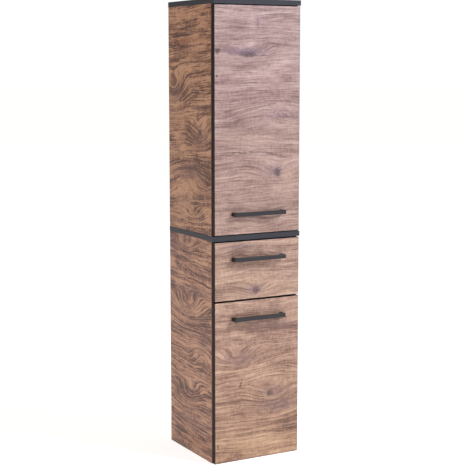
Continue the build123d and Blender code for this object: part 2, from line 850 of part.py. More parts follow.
arm_foot_x = inner_half - plate_base - 0.3
arm_rear_y = A_OUTER[1] + arm_length
arm_top_x = arm_foot_x - plate_rib_height - 2.0
with BuildPart() as one_arm:
    for level in (arm_wall_low, -arm_wall_low - arm_sheet):
        with BuildSketch(Plane.XY.offset(level)):
            with BuildLine():
                Polyline(
                    (arm_foot_x, arm_rear_y),
                    (arm_top_x, arm_rear_y),
                    (A_INNER[0] - 2.0, A_OUTER[1] + 6),
                    (A_INNER[0] - 2.0, A_INNER[1] - 1.0),
                    (A_INNER[0] - 1.0, A_INNER[1] - 2.0),
                    (A_INNER[0] + 1.5, A_INNER[1] - 1.5),
                    (A_OUTER[0] + 1.0, A_OUTER[1] - 2.2),
                    (A_OUTER[0] + 4.0, A_OUTER[1] + 1.0),
                    (arm_foot_x, A_OUTER[1] + 14),
                    close=True,
                )
            make_face()
        extrude(amount=arm_sheet)
    with BuildSketch(Plane.XY.offset(-arm_wall_low)):
        with BuildLine():
            Polyline(
                (arm_top_x, arm_rear_y),
                (arm_top_x, A_OUTER[1] + 22),
                (arm_top_x + arm_sheet, A_OUTER[1] + 22),
                (arm_top_x + arm_sheet, arm_rear_y),
                close=True,
            )
        make_face()
    extrude(amount=2 * arm_wall_low)
    for pivot in (A_OUTER, A_INNER):
        rod(pivot, -arm_wall_low - arm_sheet, arm_wall_low + arm_sheet)

plate_screw_planes = [
    facing(inner_half - plate_base, hinge_screw_y, half * plate_screw_spacing / 2, (-1, 0, 0)) for half in (-1, 1)
]
with BuildPart() as one_plate:
    with Locations((inner_half, hinge_screw_y + plate_length / 2 - plate_wing_length / 2, 0)):
        Box(plate_base, plate_length, 2 * plate_half_height, align=(Align.MAX, Align.CENTER, Align.CENTER))
    with Locations((inner_half, hinge_screw_y, 0)):
        Box(
            plate_base,
            plate_wing_length,
            2 * plate_wing_half_height,
            align=(Align.MAX, Align.CENTER, Align.CENTER),
        )
    wings = one_plate.edges().filter_by(Axis.X).group_by(Axis.Z)
    chamfer(wings[0] + wings[-1], plate_wing_length / 4)
    with Locations((inner_half - plate_base, hinge_screw_y + plate_length / 2 - plate_wing_length / 2, 0)):
        Box(
            plate_rib_height,
            plate_length - 6,
            2 * plate_rib_half_height,
            align=(Align.MAX, Align.CENTER, Align.CENTER),
        )
    bore(plate_screw_planes, plate_screw_radius + fastener_air, 2 * plate_base)

with BuildPart() as one_plate_screws:
    peg(plate_screw_planes, plate_screw_radius, plate_base + plate_screw_length - 1, 0, hidden_sides)
    peg(plate_screw_planes, plate_screw_head_radius, 0, plate_screw_head)

with BuildPart() as one_cup_screws:
    places = [plane.offset(cup_flange) for plane in cup_screw_planes([0])]
    peg(places, cup_screw_radius, cup_flange + cup_screw_length - 1, 0, hidden_sides)
    peg(places, cup_screw_head_radius, 0, cup_screw_head)

for door, heights in (("upper", upper_hinge_heights), ("lower", lower_hinge_heights)):
    at_heights(f"{door}_hinge_cups", one_cup.part, heights)
    at_heights(f"{door}_cup_screws", one_cup_screws.part, heights)
    at_heights(f"{door}_outer_links", outer_link, heights)
    at_heights(f"{door}_inner_links", one_inner_link.part, heights)
hinge_heights = upper_hinge_heights + lower_hinge_heights
at_heights("hinge_arms", one_arm.part, hinge_heights)
at_heights("hinge_plates", one_plate.part, hinge_heights)
at_heights("hinge_plate_screws", one_plate_screws.part, hinge_heights)


# Drawer box
def drawer_side(name, side):
    """A drawer side, grooved for the bottom and bored for its dowels."""
    with BuildPart() as board:
        with Locations((side * drawer_side_middle, (door_back_y + drawer_rear_y) / 2, (drawer_low + drawer_high) / 2)):
            Box(drawer_side_thickness, drawer_box_depth, drawer_box_height)
        with Locations(
            (
                side * drawer_inner_half,
                (door_back_y + drawer_rear_y) / 2,
                (drawer_bottom_low + drawer_bottom_high) / 2,
            )
        ):
            Box(
                2 * drawer_groove_depth,
                drawer_box_depth,
                drawer_bottom_thickness + 2 * groove_air,
                mode=Mode.SUBTRACT,
            )
        fronts = [p for p in drawer_front_dowels if p.origin.X * side > 0]
        backs = [p for p in drawer_back_dowels if p.origin.X * side > 0]
        bore(fronts, dowel_radius + fastener_air, dowel_in_end + fastener_air)
        bore(backs, dowel_radius + fastener_air, drawer_dowel_in_face + fastener_air)
    finish(board, name)


drawer_side("drawer_side_left", -1)
drawer_side("drawer_side_right", 1)

with BuildPart() as drawer_back:
    back_low = drawer_bottom_high + groove_air
    with Locations((0, drawer_back_y, (back_low + drawer_high) / 2)):
        Box(2 * drawer_inner_half, drawer_side_thickness, drawer_high - back_low)
    bore(drawer_back_dowels, dowel_radius + fastener_air, dowel_in_end + fastener_air)
finish(drawer_back, "drawer_back")

with BuildPart() as drawer_bottom:
    bottom_front_y = door_back_y - drawer_groove_depth + groove_air
    with Locations(
        (0, (bottom_front_y + drawer_rear_y) / 2, (drawer_bottom_low + drawer_bottom_high) / 2),
    ):
        Box(
            2 * (drawer_inner_half + drawer_groove_depth - groove_air),
            drawer_rear_y - bottom_front_y,
            drawer_bottom_thickness,
        )
finish(drawer_bottom, "drawer_bottom")

with BuildPart() as drawer_dowels:
    peg(drawer_front_dowels + drawer_back_dowels, dowel_radius, drawer_dowel_in_face, dowel_in_end, hidden_sides)
finish(drawer_dowels, "drawer_dowels")


# Roller runners
def upright_plane(side, x):
    """A plane across the cabinet at x on one side, drawn as y and z, facing the middle."""
    return Plane(origin=(side * x, 0, 0), x_dir=(0, 1, 0), z_dir=(1, 0, 0))


def roller_pin(side, x_from, x_to, y, z):
    """A riveted pin from a member's web, with a head that keeps the roller on."""
    inward = -1 if x_to < x_from else 1
    web = facing(side * x_from, y, z, (side * inward, 0, 0))
    length = abs(x_to - x_from)
    peg([web], roller_pin_radius, 0, length)
    peg([web.offset(length)], roller_head_radius, 0, roller_head)


def cabinet_runner(name, side):
    """A channel screwed to the side panel, cut open round the front roller on its pin."""
    web_x = inner_half - runner_sheet
    with BuildPart() as member:
        with BuildSketch(Plane.XZ.offset(-runner_front_y)):
            for low in (runner_low, runner_high - runner_sheet):
                with Locations((side * inner_half, low)):
                    Rectangle(
                        runner_sheet + runner_flange,
                        runner_sheet,
                        align=(Align.MAX if side > 0 else Align.MIN, Align.MIN),
                    )
            with Locations((side * inner_half, runner_low)):
                Rectangle(
                    runner_sheet,
                    runner_high - runner_low,
                    align=(Align.MAX if side > 0 else Align.MIN, Align.MIN),
                )
        extrude(amount=-runner_length)
        with Locations((side * web_x, runner_front_y, runner_low)):
            Box(
                2 * runner_flange,
                2 * runner_window,
                3 * (runner_high - runner_low),
                align=(Align.MAX if side > 0 else Align.MIN, Align.CENTER, Align.CENTER),
                mode=Mode.SUBTRACT,
            )
        roller_pin(side, web_x, roller_inner_x - 0.1, front_roller_y, front_roller_z)
        bore(runner_screw_planes(side), runner_screw_radius + fastener_air, 2 * runner_sheet)
    finish(member, name)


def drawer_runner(name, side):
    """A bent member under and beside the drawer's side, with the rear roller on its pin."""
    outer_x = drawer_half + runner_sheet
    with BuildPart() as member:
        with BuildSketch(Plane.XZ.offset(-runner_front_y)):
            inward = Align.MAX if side > 0 else Align.MIN
            outward = Align.MIN if side > 0 else Align.MAX
            with Locations((side * outer_x, runner_low)):
                Rectangle(runner_sheet, drawer_flange_low + runner_sheet - runner_low, align=(inward, Align.MIN))
                Rectangle(runner_sheet + drawer_foot_reach, runner_sheet, align=(inward, Align.MIN))
            with Locations((side * drawer_half, drawer_flange_low)):
                Rectangle(runner_sheet + drawer_flange_reach, runner_sheet, align=(outward, Align.MIN))
        extrude(amount=-(drawer_rear_y - runner_front_y))
        roller_pin(side, outer_x, roller_outer_x + 0.1, rear_roller_y - 8.0, rear_roller_z)
    finish(member, name)


def roller(name, side, radius, y, z):
    """A plain nylon roller on its pin."""
    plane = facing(side * roller_outer_x, y, z, (-side, 0, 0))
    with BuildPart() as wheel:
        with BuildSketch(plane):
            RegularPolygon(radius, roller_sides)
            RegularPolygon(
                roller_pin_radius + roller_bore_air,
                small_sides,
                mode=Mode.SUBTRACT,
            )
        extrude(amount=roller_width)
    finish(wheel, name)


for side, hand in ((-1, "left"), (1, "right")):
    cabinet_runner(f"cabinet_runner_{hand}", side)
    drawer_runner(f"drawer_runner_{hand}", side)
    roller(f"front_roller_{hand}", side, front_roller_radius, front_roller_y, front_roller_z)
    roller(f"rear_roller_{hand}", side, rear_roller_radius, rear_roller_y - 8.0, rear_roller_z)

with BuildPart() as runner_screws:
    for side in (-1, 1):
        places = [plane.offset(runner_sheet) for plane in runner_screw_planes(side)]
        peg(places, runner_screw_radius, runner_sheet + runner_screw_length - 1, 0, hidden_sides)
        peg(places, runner_screw_head_radius, 0, runner_screw_head)
finish(runner_screws, "runner_screws")

# Wall hangers: housings pegged to the side panels, hooks through the back panel, plates for the wall
with BuildPart() as hanger_housings:
    for side in (-1, 1):
        with Locations((side * hook_x, hanger_rear_y - hanger_depth / 2, hook_z)):
            Box(hanger_width, hanger_depth, hanger_height)
    chamfer(hanger_housings.edges().filter_by(Axis.X), 3)
    for side in (-1, 1):
        peg(hanger_peg_planes(side), hanger_peg_radius, hanger_peg_length, 0, hidden_sides)
        with Locations((side * hook_x, hanger_rear_y, hook_z)):
            Box(
                hook_thickness + 2 * hook_air,
                2 * (hook_tail + hook_air),
                hook_height + 2 * hook_air,
                mode=Mode.SUBTRACT,
            )
        bore(
            [
                facing(side * hook_x, hanger_rear_y - hanger_depth, hook_z + half * hanger_screw_spacing / 2, (0, -1, 0))
                for half in (-1, 1)
            ],
            hanger_screw_radius + fastener_air,
            hanger_screw_length + fastener_air,
        )
finish(hanger_housings, "hanger_housings")

with BuildPart() as hanger_screws:
    for side in (-1, 1):
        places = [
            facing(side * hook_x, hanger_rear_y - hanger_depth, hook_z + half * hanger_screw_spacing / 2, (0, -1, 0))
            for half in (-1, 1)
        ]
        peg(places, hanger_screw_radius, hanger_screw_length, -hanger_screw_sink, hidden_sides)
finish(hanger_screws, "hanger_screws")

with BuildPart() as hanger_hooks:
    for side in (-1, 1):
        with BuildSketch(upright_plane(side, hook_x - side * hook_thickness / 2)):
            with BuildLine():
                Polyline(
                    (hanger_rear_y - hook_tail, hook_low),
                    (hook_tip_y - hook_tooth_depth, hook_low),
                    (hook_tip_y - hook_tooth_depth, hook_low - hook_tooth_drop),
                    (hook_tip_y, hook_low - hook_tooth_drop),
                    (hook_tip_y, hook_high),
                    (hanger_rear_y - hook_tail, hook_high),
                    close=True,
                )
            make_face()
        extrude(amount=hook_thickness)
finish(hanger_hooks, "hanger_hooks")

with BuildPart() as wall_plates:
    lip_y = hook_tip_y - hook_tooth_depth - hook_seat_air - wall_plate_thickness
    lip_top = wall_seat_z + wall_plate_lip
    plate_top = wall_seat_z - wall_plate_thickness
    wall_plate_x = inner_half - wall_plate_air - wall_plate_width / 2
    for side in (-1, 1):
        with BuildSketch(upright_plane(1, side * wall_plate_x - wall_plate_width / 2)):
            with BuildLine():
                Polyline(
                    (rear_y, wall_seat_z),
                    (lip_y + wall_plate_thickness, wall_seat_z),
                    (lip_y + wall_plate_thickness, lip_top),
                    (lip_y, lip_top),
                    (lip_y, plate_top),
                    (rear_y - wall_plate_thickness, plate_top),
                    (rear_y - wall_plate_thickness, plate_top - wall_plate_drop),
                    (rear_y, plate_top - wall_plate_drop),
                    close=True,
                )
            make_face()
        extrude(amount=wall_plate_width)
        with Locations(
            *[
                facing(
                    side * wall_plate_x + end * wall_hole_spacing / 2,
                    rear_y - wall_plate_thickness,
                    plate_top - wall_plate_drop / 2,
                    (0, -1, 0),
                )
                for end in (-1, 1)
            ]
        ):
            Hole(wall_hole_radius, 2 * wall_plate_thickness)
finish(wall_plates, "wall_plates")
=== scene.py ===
"""Dresses the mid-height bathroom cabinet: its boards, plates, edges, handles and fittings."""

import json
import logging
import math
from dataclasses import dataclass
from enum import Enum
from typing import ClassVar, Dict, Iterable, List, Mapping, Optional, Sequence, Tuple, Union

import bmesh
import bpy
from mathutils import Matrix, Vector


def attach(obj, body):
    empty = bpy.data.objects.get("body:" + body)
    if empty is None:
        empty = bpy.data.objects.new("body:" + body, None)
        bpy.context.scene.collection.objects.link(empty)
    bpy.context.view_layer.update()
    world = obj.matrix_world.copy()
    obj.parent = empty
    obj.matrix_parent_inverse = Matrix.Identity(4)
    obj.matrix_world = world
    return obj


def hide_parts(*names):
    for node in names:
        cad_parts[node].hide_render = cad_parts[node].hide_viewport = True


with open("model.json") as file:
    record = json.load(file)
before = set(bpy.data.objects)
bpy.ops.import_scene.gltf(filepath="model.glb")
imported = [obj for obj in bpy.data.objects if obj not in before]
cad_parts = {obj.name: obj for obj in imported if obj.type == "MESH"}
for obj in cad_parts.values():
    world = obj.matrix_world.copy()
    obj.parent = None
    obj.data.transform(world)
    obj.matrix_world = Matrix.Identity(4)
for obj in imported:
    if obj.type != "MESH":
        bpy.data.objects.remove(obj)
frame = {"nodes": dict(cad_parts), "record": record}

LOG = logging.getLogger("cabinet")
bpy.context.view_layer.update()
MILLIMETRES = 1000.0
WELD_REACH = 1e-6
SHARP_EDGE = 50.0
X_AXIS, Y_AXIS = 0, 1

Triple = Tuple[float, float, float]
Colour = Tuple[float, float, float, float]
Operand = Union["Field", float]


def rgb(red: float, green: float, blue: float) -> Colour:
    """A colour on the shader's linear scale.

    Args:
        red: The red share as it looks on a screen, from 0 to 255.
        green: The green share, likewise.
        blue: The blue share, likewise.

    Returns:
        The colour, opaque.
    """
    shares = [share / 255 for share in (red, green, blue)]
    linear = [s / 12.92 if s <= 0.04045 else ((s + 0.055) / 1.055) ** 2.4 for s in shares]
    return (linear[0], linear[1], linear[2], 1.0)


class Field:
    """A value on its way through a finish: sums with it add their own Math nodes."""

    def __init__(self, paint: "Paint", socket: bpy.types.NodeSocket) -> None:
        """Keeps the socket that carries the value.

        Args:
            paint: The finish that the value belongs to.
            socket: The output that carries it.
        """
        self.paint = paint
        self.socket = socket

    def _math(self, operation: str, *terms: Operand) -> "Field":
        """One Math node on these terms.

        Args:
            operation: What the node does.
            terms: The values that it works on, in their order.

        Returns:
            The result.
        """
        return self.paint.node("ShaderNodeMath", {"operation": operation}, dict(enumerate(terms)))

    def __add__(self, other: Operand) -> "Field":
        """The sum."""
        return self._math("ADD", self, other)

    def __radd__(self, other: Operand) -> "Field":
        """The sum, with the value on the right."""
        return self._math("ADD", other, self)

    def __sub__(self, other: Operand) -> "Field":
        """The difference."""
        return self._math("SUBTRACT", self, other)

    def __rsub__(self, other: Operand) -> "Field":
        """The difference, with the value on the right."""
        return self._math("SUBTRACT", other, self)

    def __mul__(self, other: Operand) -> "Field":
        """The product."""
        return self._math("MULTIPLY", self, other)

    def __rmul__(self, other: Operand) -> "Field":
        """The product, with the value on the right."""
        return self._math("MULTIPLY", other, self)

    def __truediv__(self, other: Operand) -> "Field":
        """The quotient."""
        return self._math("DIVIDE", self, other)

    def clamped(self) -> "Field":
        """The value held between 0 and 1."""
        return self.paint.node("ShaderNodeClamp", {}, {"Value": self})

    def least(self, other: Operand) -> "Field":
        """The smaller of the two."""
        return self._math("MINIMUM", self, other)

    def stepped(self, low: float, high: float) -> "Field":
        """A smooth step of the value.

        Args:
            low: The value that gives 0.
            high: The value that gives 1, which may lie below low.

        Returns:
            The step, from 0 to 1.
        """
        ends = {"Value": self, "From Min": low, "From Max": high}
        return self.paint.node("ShaderNodeMapRange", {"interpolation_type": "SMOOTHSTEP"}, ends)


class Paint:
    """The nodes of one finish while they are laid out."""

    def __init__(self, name: str) -> None:
        """Starts an empty material.

        Args:
            name: The finish's name.
        """
        self.material = bpy.data.materials.new(name)
        self.material.use_nodes = True
        self.tree = self.material.node_tree
        self.tree.nodes.clear()

    def node(
        self,
        kind: str,
        settings: Optional[Mapping[str, object]] = None,
        values: Optional[Mapping[Union[int, str], object]] = None,
        output: Union[int, str] = 0,
    ) -> Field:
        """Adds one node.

        Args:
            kind: The node's type.
            settings: What is set on the node itself, with a ramp's stops under "stops".
            values: A number, a colour or a Field for each socket that isn't left as it is.
            output: The output that the result carries.

        Returns:
            The chosen output.
        """
        made = self.tree.nodes.new(kind)
        for name, value in (settings or {}).items():
            if name == "stops":
                self._place_stops(made.color_ramp, value)
            else:
                setattr(made, name, value)
        for name, value in (values or {}).items():
            socket = made.inputs[name]
            if isinstance(value, Field):
                self.tree.links.new(value.socket, socket)
            else:
                socket.default_value = value
        return Field(self, made.outputs[output])

    @staticmethod
    def _place_stops(ramp: bpy.types.ColorRamp, stops: Sequence[Tuple[float, Colour]]) -> None:
        """Sets a ramp's stops, each a place from 0 to 1 and a colour."""
        while len(ramp.elements) < len(stops):
            ramp.elements.new(1.0)
        for element, (place, colour) in zip(ramp.elements, stops):
            element.position = place
            element.color = colour

    def place(self) -> Field:
        """The point on the piece, in metres, in the frame that all pieces share."""
        return self.node("ShaderNodeTexCoord", output="Object")

    def place_mm(self) -> Field:
        """The same point in millimetres."""
        return self.stretched(self.place(), 1 / MILLIMETRES, 1 / MILLIMETRES, 1 / MILLIMETRES)

    def split(self, vector: Field) -> Tuple[Field, Field, Field]:
        """A vector's three shares."""
        first = self.node("ShaderNodeSeparateXYZ", {}, {0: vector})
        outputs = first.socket.node.outputs
        return first, Field(self, outputs[1]), Field(self, outputs[2])

    def vector(self, x: Operand, y: Operand, z: Operand) -> Field:
        """A vector from three values."""
        return self.node("ShaderNodeCombineXYZ", {}, {0: x, 1: y, 2: z})

    def stretched(self, vector: Field, x: float, y: float, z: float) -> Field:
        """A vector measured in cells.

        Args:
            vector: The vector.
            x: The cells' size along its first axis.
            y: The cells' size along its second axis.
            z: The cells' size along its third axis.

        Returns:
            The vector, in cells.
        """
        shares = (1 / x, 1 / y, 1 / z)
        return self.node("ShaderNodeVectorMath", {"operation": "MULTIPLY"}, {0: vector, 1: shares})

    def noise(self, vector: Field, detail: float = 2.0, rough: float = 0.5) -> Field:
        """Cloudy noise of about one cell per unit, from 0 to 1 and mostly near a half.

        Args:
            vector: The point, in cells.
            detail: How many finer layers it has.
            rough: How strong the finer layers are.

        Returns:
            The noise.
        """
        values = {"Vector": vector, "Scale": 1.0, "Detail": detail, "Roughness": rough}
        return self.node("ShaderNodeTexNoise", {}, values)

    def mixed(self, share: Operand, first: object, second: object, blend: str = "MIX") -> Field:
        """Two colours mixed.

        Args:
            share: How much of the second shows, from 0 to 1.
            first: The first colour.
            second: The second colour.
            blend: How the second is laid over the first.

        Returns:
            The mixed colour.
        """
        settings = {"data_type": "RGBA", "blend_type": blend}
        return self.node("ShaderNodeMix", settings, {0: share, 6: first, 7: second}, 2)

    def surface(
        self,
        colour: object,
        rough: Operand,
        relief: Optional[Field] = None,
        depth: float = 0.0001,
        metal: float = 0.0,
        coat: float = 0.0,
        gloss: float = 0.5,
        glow: float = 0.0,
    ) -> bpy.types.Material:
        """Ends the finish with its shader.

        Args:
            colour: The base colour, or a Field of it.
            rough: The roughness.
            relief: The height that the light sees, from 0 to 1.
            depth: What a height of 1 measures, in metres.
            metal: 1 for bare metal, 0 otherwise.
            coat: The share of a clear coat.
            gloss: The specular level.
            glow: The strength of an even white glow.

        Returns:
            The material.
        """
        values = {
            "Base Color": colour, "Roughness": rough, "Metallic": metal,
            "Coat Weight": coat, "Specular IOR Level": gloss, "Emission Strength": glow,
        }
        if relief is not None:
            values["Normal"] = self.node("ShaderNodeBump", {}, {"Height": relief, "Distance": depth})
        shader = self.node("ShaderNodeBsdfPrincipled", {}, values)
        end = self.tree.nodes.new("ShaderNodeOutputMaterial")
        self.tree.links.new(shader.socket, end.inputs["Surface"])
        return self.material


class Grain(Enum):
    """Which way a board's grain runs, and which way its width runs, by the axes' numbers."""

    ALONG_X_UP_Z = (0, 2, 1)
    ALONG_Y_UP_Z = (1, 2, 0)
    ALONG_X_OVER_Y = (0, 1, 2)


class Tone(Enum):
    """The colours that marks in the oak decor have."""

    KNOT = rgb(76, 56, 44)
    STREAK = rgb(92, 67, 56)
    HAZE = rgb(122, 94, 96)
    PALE = rgb(196, 162, 134)
    AMBER = rgb(160, 108, 72)


@dataclass(frozen=True)
class Mark:
    """A knot, streak or patch in the decor: its middle, half sizes in mm, tilt in degrees and strength."""

    tone: Tone
    along: float
    across: float
    length: float
    width: float
    strength: float = 1.0
    tilt: float = 0.0


@dataclass(frozen=True)
class Swell:
    """A place where the growth lines close into loops: its middle, half sizes and height in mm."""

    along: float
    across: float
    length: float
    width: float
    height: float
    tilt: float = 0.0


@dataclass(frozen=True)
class Layer:
    """One layer of the print's lights and darks.

    Args:
        along: The length of its cells, in mm.
        across: Their width, in mm.
        share: How strongly the layer counts.
        bent: Whether it bends with the growth lines.
        seed: Sets it apart from the other layers, where it bends.
        detail: How many finer layers its noise has.
        rough: How strong those are.
    """

    along: float
    across: float
    share: float
    bent: bool = False
    seed: float = 0.0
    detail: float = 2.0
    rough: float = 0.5


@dataclass(frozen=True)
class OakPrint:
    """The oak decor of one board.

    Args:
        name: The finish's name.
        grain: Which way the grain runs.
        seed: Sets its clouds and lines apart from the other boards'.
        marks: Its knots, streaks and patches.
        swells: Where its growth lines close into loops.
        slope: How far the lines climb along the grain, as a share.
        tint: What the print's red, green and blue are multiplied by.
        painted_cool_sheen_top: Whether a painted sheen turns the print cooler and brighter from the floor
            upwards, standing in for the cool light that the fronts reflect higher up.
        contrast: How strong its lines and clouds are.
    """

    name: str
    grain: Grain
    seed: float
    marks: Tuple[Mark, ...] = ()
    swells: Tuple[Swell, ...] = ()
    slope: float = 0.0
    tint: Colour = (1.0, 1.0, 1.0, 1.0)
    painted_cool_sheen_top: bool = False
    contrast: float = 1.0

    # Painted sheen: the tints from the floor to the top of a front; the cool, bright one high up stands in
    # for reflected cool light.
    PAINTED_SHEEN_LOW: ClassVar[Colour] = (1.0, 0.98, 0.90, 1.0)
    PAINTED_SHEEN_HIGH: ClassVar[Colour] = (1.0, 1.10, 1.50, 1.0)
    FULL_HEIGHT: ClassVar[float] = 1400.0
    TAPE_CELL: ClassVar[Triple] = (3.6, 3.6, 48.0)
    DRIFT_CELL: ClassVar[Triple] = (240.0, 95.0, 1.0)
    DRIFT: ClassVar[float] = 34.0
    SWAY_CELL: ClassVar[Triple] = (60.0, 34.0, 1.0)
    SWAY: ClassVar[float] = 7.0
    FIBRE_LENGTH: ClassVar[float] = 46.0
    FIBRE_WIDTH: ClassVar[float] = 1.7
    FIBRE_SHARE: ClassVar[float] = 0.8
    ROUGH: ClassVar[float] = 0.46
    ROUGH_SPREAD: ClassVar[float] = 0.25
    GLOSS: ClassVar[float] = 0.4
    RELIEF: ClassVar[float] = 0.00012
    DEPTH_STEP: ClassVar[float] = 10.0
    SEED_STEP: ClassVar[float] = 7.3
    ANY_DEPTH: ClassVar[float] = 10000.0
    MIDDLE_TONE: ClassVar[float] = 0.52
    RAGGED_CELL: ClassVar[Triple] = (13.0, 4.5, 1.0)
    RAGGED: ClassVar[float] = 5.0
    LAYERS: ClassVar[Tuple[Layer, ...]] = (
        Layer(130, 55, 0.75), Layer(800, 20, 0.6, True, 3), Layer(210, 5.6, 1.15, True, 6, 3.0, 0.62),
        Layer(42, 4, 0.75, True, 9), Layer(7, 15, 0.45),
    )
    STOPS: ClassVar[Tuple[Tuple[float, Colour], ...]] = (
        (0.0, rgb(92, 66, 58)), (0.3, rgb(134, 101, 87)), (0.5, rgb(160, 126, 109)),
        (0.7, rgb(180, 146, 126)), (1.0, rgb(204, 172, 148)),
    )

    def material(self) -> bpy.types.Material:
        """The finished decor."""
        paint = Paint(self.name)
        axes = paint.split(paint.place())
        first, second, third = self.grain.value
        along = axes[first] * MILLIMETRES
        across = axes[second] * MILLIMETRES
        spot = paint.vector(along, across, axes[third] * self.DEPTH_STEP + self.seed * self.SEED_STEP)
        growth = self._growth(paint, spot, along, across)
        fibre = paint.vector(along / self.FIBRE_LENGTH, growth / self.FIBRE_WIDTH, self.seed)
        fine = paint.noise(fibre, 3, 0.6)
        tone = self._tone(paint, spot, along, growth, fine)
        colour = paint.node("ShaderNodeValToRGB", {"stops": self.STOPS}, {"Fac": tone})
        colour = self._marked(paint, colour, spot)
        colour = self._edged(paint, colour)
        colour = paint.mixed(1.0, colour, self.tint, "MULTIPLY")
        # Painted sheen: the print turns cooler and brighter towards the top, standing in for the cool light
        # reflected off the fronts.
        if self.painted_cool_sheen_top:
            height = (axes[2] * (MILLIMETRES / self.FULL_HEIGHT)).clamped()
            painted_sheen_tint = paint.mixed(height, self.PAINTED_SHEEN_LOW, self.PAINTED_SHEEN_HIGH)
            colour = paint.mixed(1.0, colour, painted_sheen_tint, "MULTIPLY")
        rough = self.ROUGH + (fine - 0.5) * self.ROUGH_SPREAD
        return paint.surface(colour, rough, fine, self.RELIEF, gloss=self.GLOSS)

    def _growth(self, paint: Paint, spot: Field, along: Field, across: Field) -> Field:
        """Where a point stands among the growth lines.

        Args:
            paint: The nodes.
            spot: The point on the board, in mm.
            along: Its share along the grain.
            across: Its share across the grain.

        Returns:
            The height among the lines, in mm.
        """
        drift = paint.noise(paint.stretched(spot, *self.DRIFT_CELL), 1.5) - 0.5
        sway = paint.noise(paint.stretched(spot, *self.SWAY_CELL), 1.0) - 0.5
        growth = across + drift * self.DRIFT + sway * self.SWAY + along * self.slope
        for swell in self.swells:
            growth = growth + self._hill(paint, spot, swell) * swell.height
        return growth

    def _hill(self, paint: Paint, spot: Field, shape: Union[Mark, Swell]) -> Field:
        """A smooth hill from 1 at a shape's middle to 0 at its rim.

        Args:
            paint: The nodes.
            spot: The point on the board, in mm.
            shape: Where the hill stands.

        Returns:
            The hill's height.
        """
        values = {
            "Vector": spot, "Location": (shape.along, shape.across, 0),
            "Rotation": (0, 0, math.radians(shape.tilt)),
            "Scale": (shape.length, shape.width, self.ANY_DEPTH),
        }
        local = paint.node("ShaderNodeMapping", {"vector_type": "TEXTURE"}, values)
        far = paint.node("ShaderNodeVectorMath", {"operation": "LENGTH"}, {0: local}, 1)
        return far.stepped(1.0, 0.0)

    def _tone(self, paint: Paint, spot: Field, along: Field, growth: Field, fine: Field) -> Field:
        """How light the print is.

        Args:
            paint: The nodes.
            spot: The point on the board, in mm.
            along: Its share along the grain.
            growth: Its height among the growth lines.
            fine: The fine fibres.

        Returns:
            The lightness, mostly between 0 and 1.
        """
        lights = (fine - 0.5) * self.FIBRE_SHARE
        for layer in self.LAYERS:
            if layer.bent:
                cells = paint.vector(along / layer.along, growth / layer.across, self.seed + layer.seed)
            else:
                cells = paint.stretched(spot, layer.along, layer.across, 1.0)
            lights = lights + (paint.noise(cells, layer.detail, layer.rough) - 0.5) * layer.share
        return lights * self.contrast + self.MIDDLE_TONE

    def _edged(self, paint: Paint, colour: Field) -> Field:
        """Covers the board's narrow sides with edge tape.

        Args:
            paint: The nodes.
            colour: The print on the board's faces.

        Returns:
            The colour with the tape's where the surface doesn't face the board's thickness.
        """
        facing = paint.split(paint.node("ShaderNodeTexCoord", output="Normal"))[self.grain.value[2]]
        on_edge = (facing * facing).stepped(0.6, 0.4)
        fibres = paint.noise(paint.stretched(paint.place_mm(), *self.TAPE_CELL), 3.0, 0.6)
        tape = paint.node("ShaderNodeValToRGB", {"stops": self.STOPS}, {"Fac": fibres * 0.9 - 0.02})
        return paint.mixed(on_edge, colour, tape)

    def _marked(self, paint: Paint, colour: Field, spot: Field) -> Field:
        """Lays the marks over the print.

        Args:
            paint: The nodes.
            colour: The print without them.
            spot: The point on the board, in mm.

        Returns:
            The colour with the marks.
        """
        ragged = paint.noise(paint.stretched(spot, *self.RAGGED_CELL), 2.0, 0.6) - 0.5
        for tone in Tone:
            found = [mark for mark in self.marks if mark.tone is tone]
            if not found:
                continue
            share: Operand = 0.0
            for mark in found:
                share = self._hill(paint, spot, mark) * mark.strength + share
            share = share + share.least(0.45) * ragged * self.RAGGED
            colour = paint.mixed(share.clamped(), colour, tone.value)
        return colour


@dataclass(frozen=True)
class PlainBoard:
    """A board of one colour with a fine pressed texture.

    Args:
        name: The finish's name.
        colour: Its colour.
        shade: The darker colour of its cloudy spots.
        rough: Its roughness.
        pearl: The size of the pressed texture in mm.
        depth: The depth of that texture in metres.
        gloss: Its specular level.
    """

    name: str
    colour: Colour
    shade: Colour
    rough: float = 0.5
    pearl: float = 0.9
    depth: float = 0.00006
    gloss: float = 0.4

    CLOUD_CELL: ClassVar[Triple] = (45.0, 45.0, 30.0)

    def material(self) -> bpy.types.Material:
        """The finished board."""
        paint = Paint(self.name)
        spot = paint.place_mm()
        pearl = paint.noise(paint.stretched(spot, self.pearl, self.pearl, self.pearl), 2.0, 0.6)
        cloud = paint.noise(paint.stretched(spot, *self.CLOUD_CELL), 3.0)
        share = (cloud - 0.3 + (pearl - 0.5) * 0.8).clamped()
        colour = paint.mixed(share, self.colour, self.shade)
        rough = self.rough + (pearl - 0.5) * 0.3
        return paint.surface(colour, rough, pearl, self.depth, gloss=self.gloss)


@dataclass(frozen=True)
class Metal:
    """Bare or plated metal with a drawn or cast skin.

    Args:
        name: The finish's name.
        colour: Its colour.
        shade: The colour of its duller streaks.
        rough: Its roughness.
        streak: The sizes of its streaks along the three axes, in mm.
    """

    name: str
    colour: Colour
    shade: Colour
    rough: float = 0.3
    streak: Triple = (9.0, 0.5, 0.5)

    BLOTCH_CELL: ClassVar[Triple] = (6.0, 6.0, 6.0)
    RELIEF: ClassVar[float] = 0.00003

    def material(self) -> bpy.types.Material:
        """The finished metal."""
        paint = Paint(self.name)
        spot = paint.place_mm()
        streak = paint.noise(paint.stretched(spot, *self.streak), 3.0, 0.6)
        blotch = paint.noise(paint.stretched(spot, *self.BLOTCH_CELL), 2.0)
        colour = paint.mixed(((streak + blotch) * 1.6 - 1.1).clamped(), self.colour, self.shade)
        rough = self.rough + (streak - 0.5) * 0.3 + (blotch - 0.5) * 0.2
        return paint.surface(colour, rough, streak, self.RELIEF, metal=1.0)


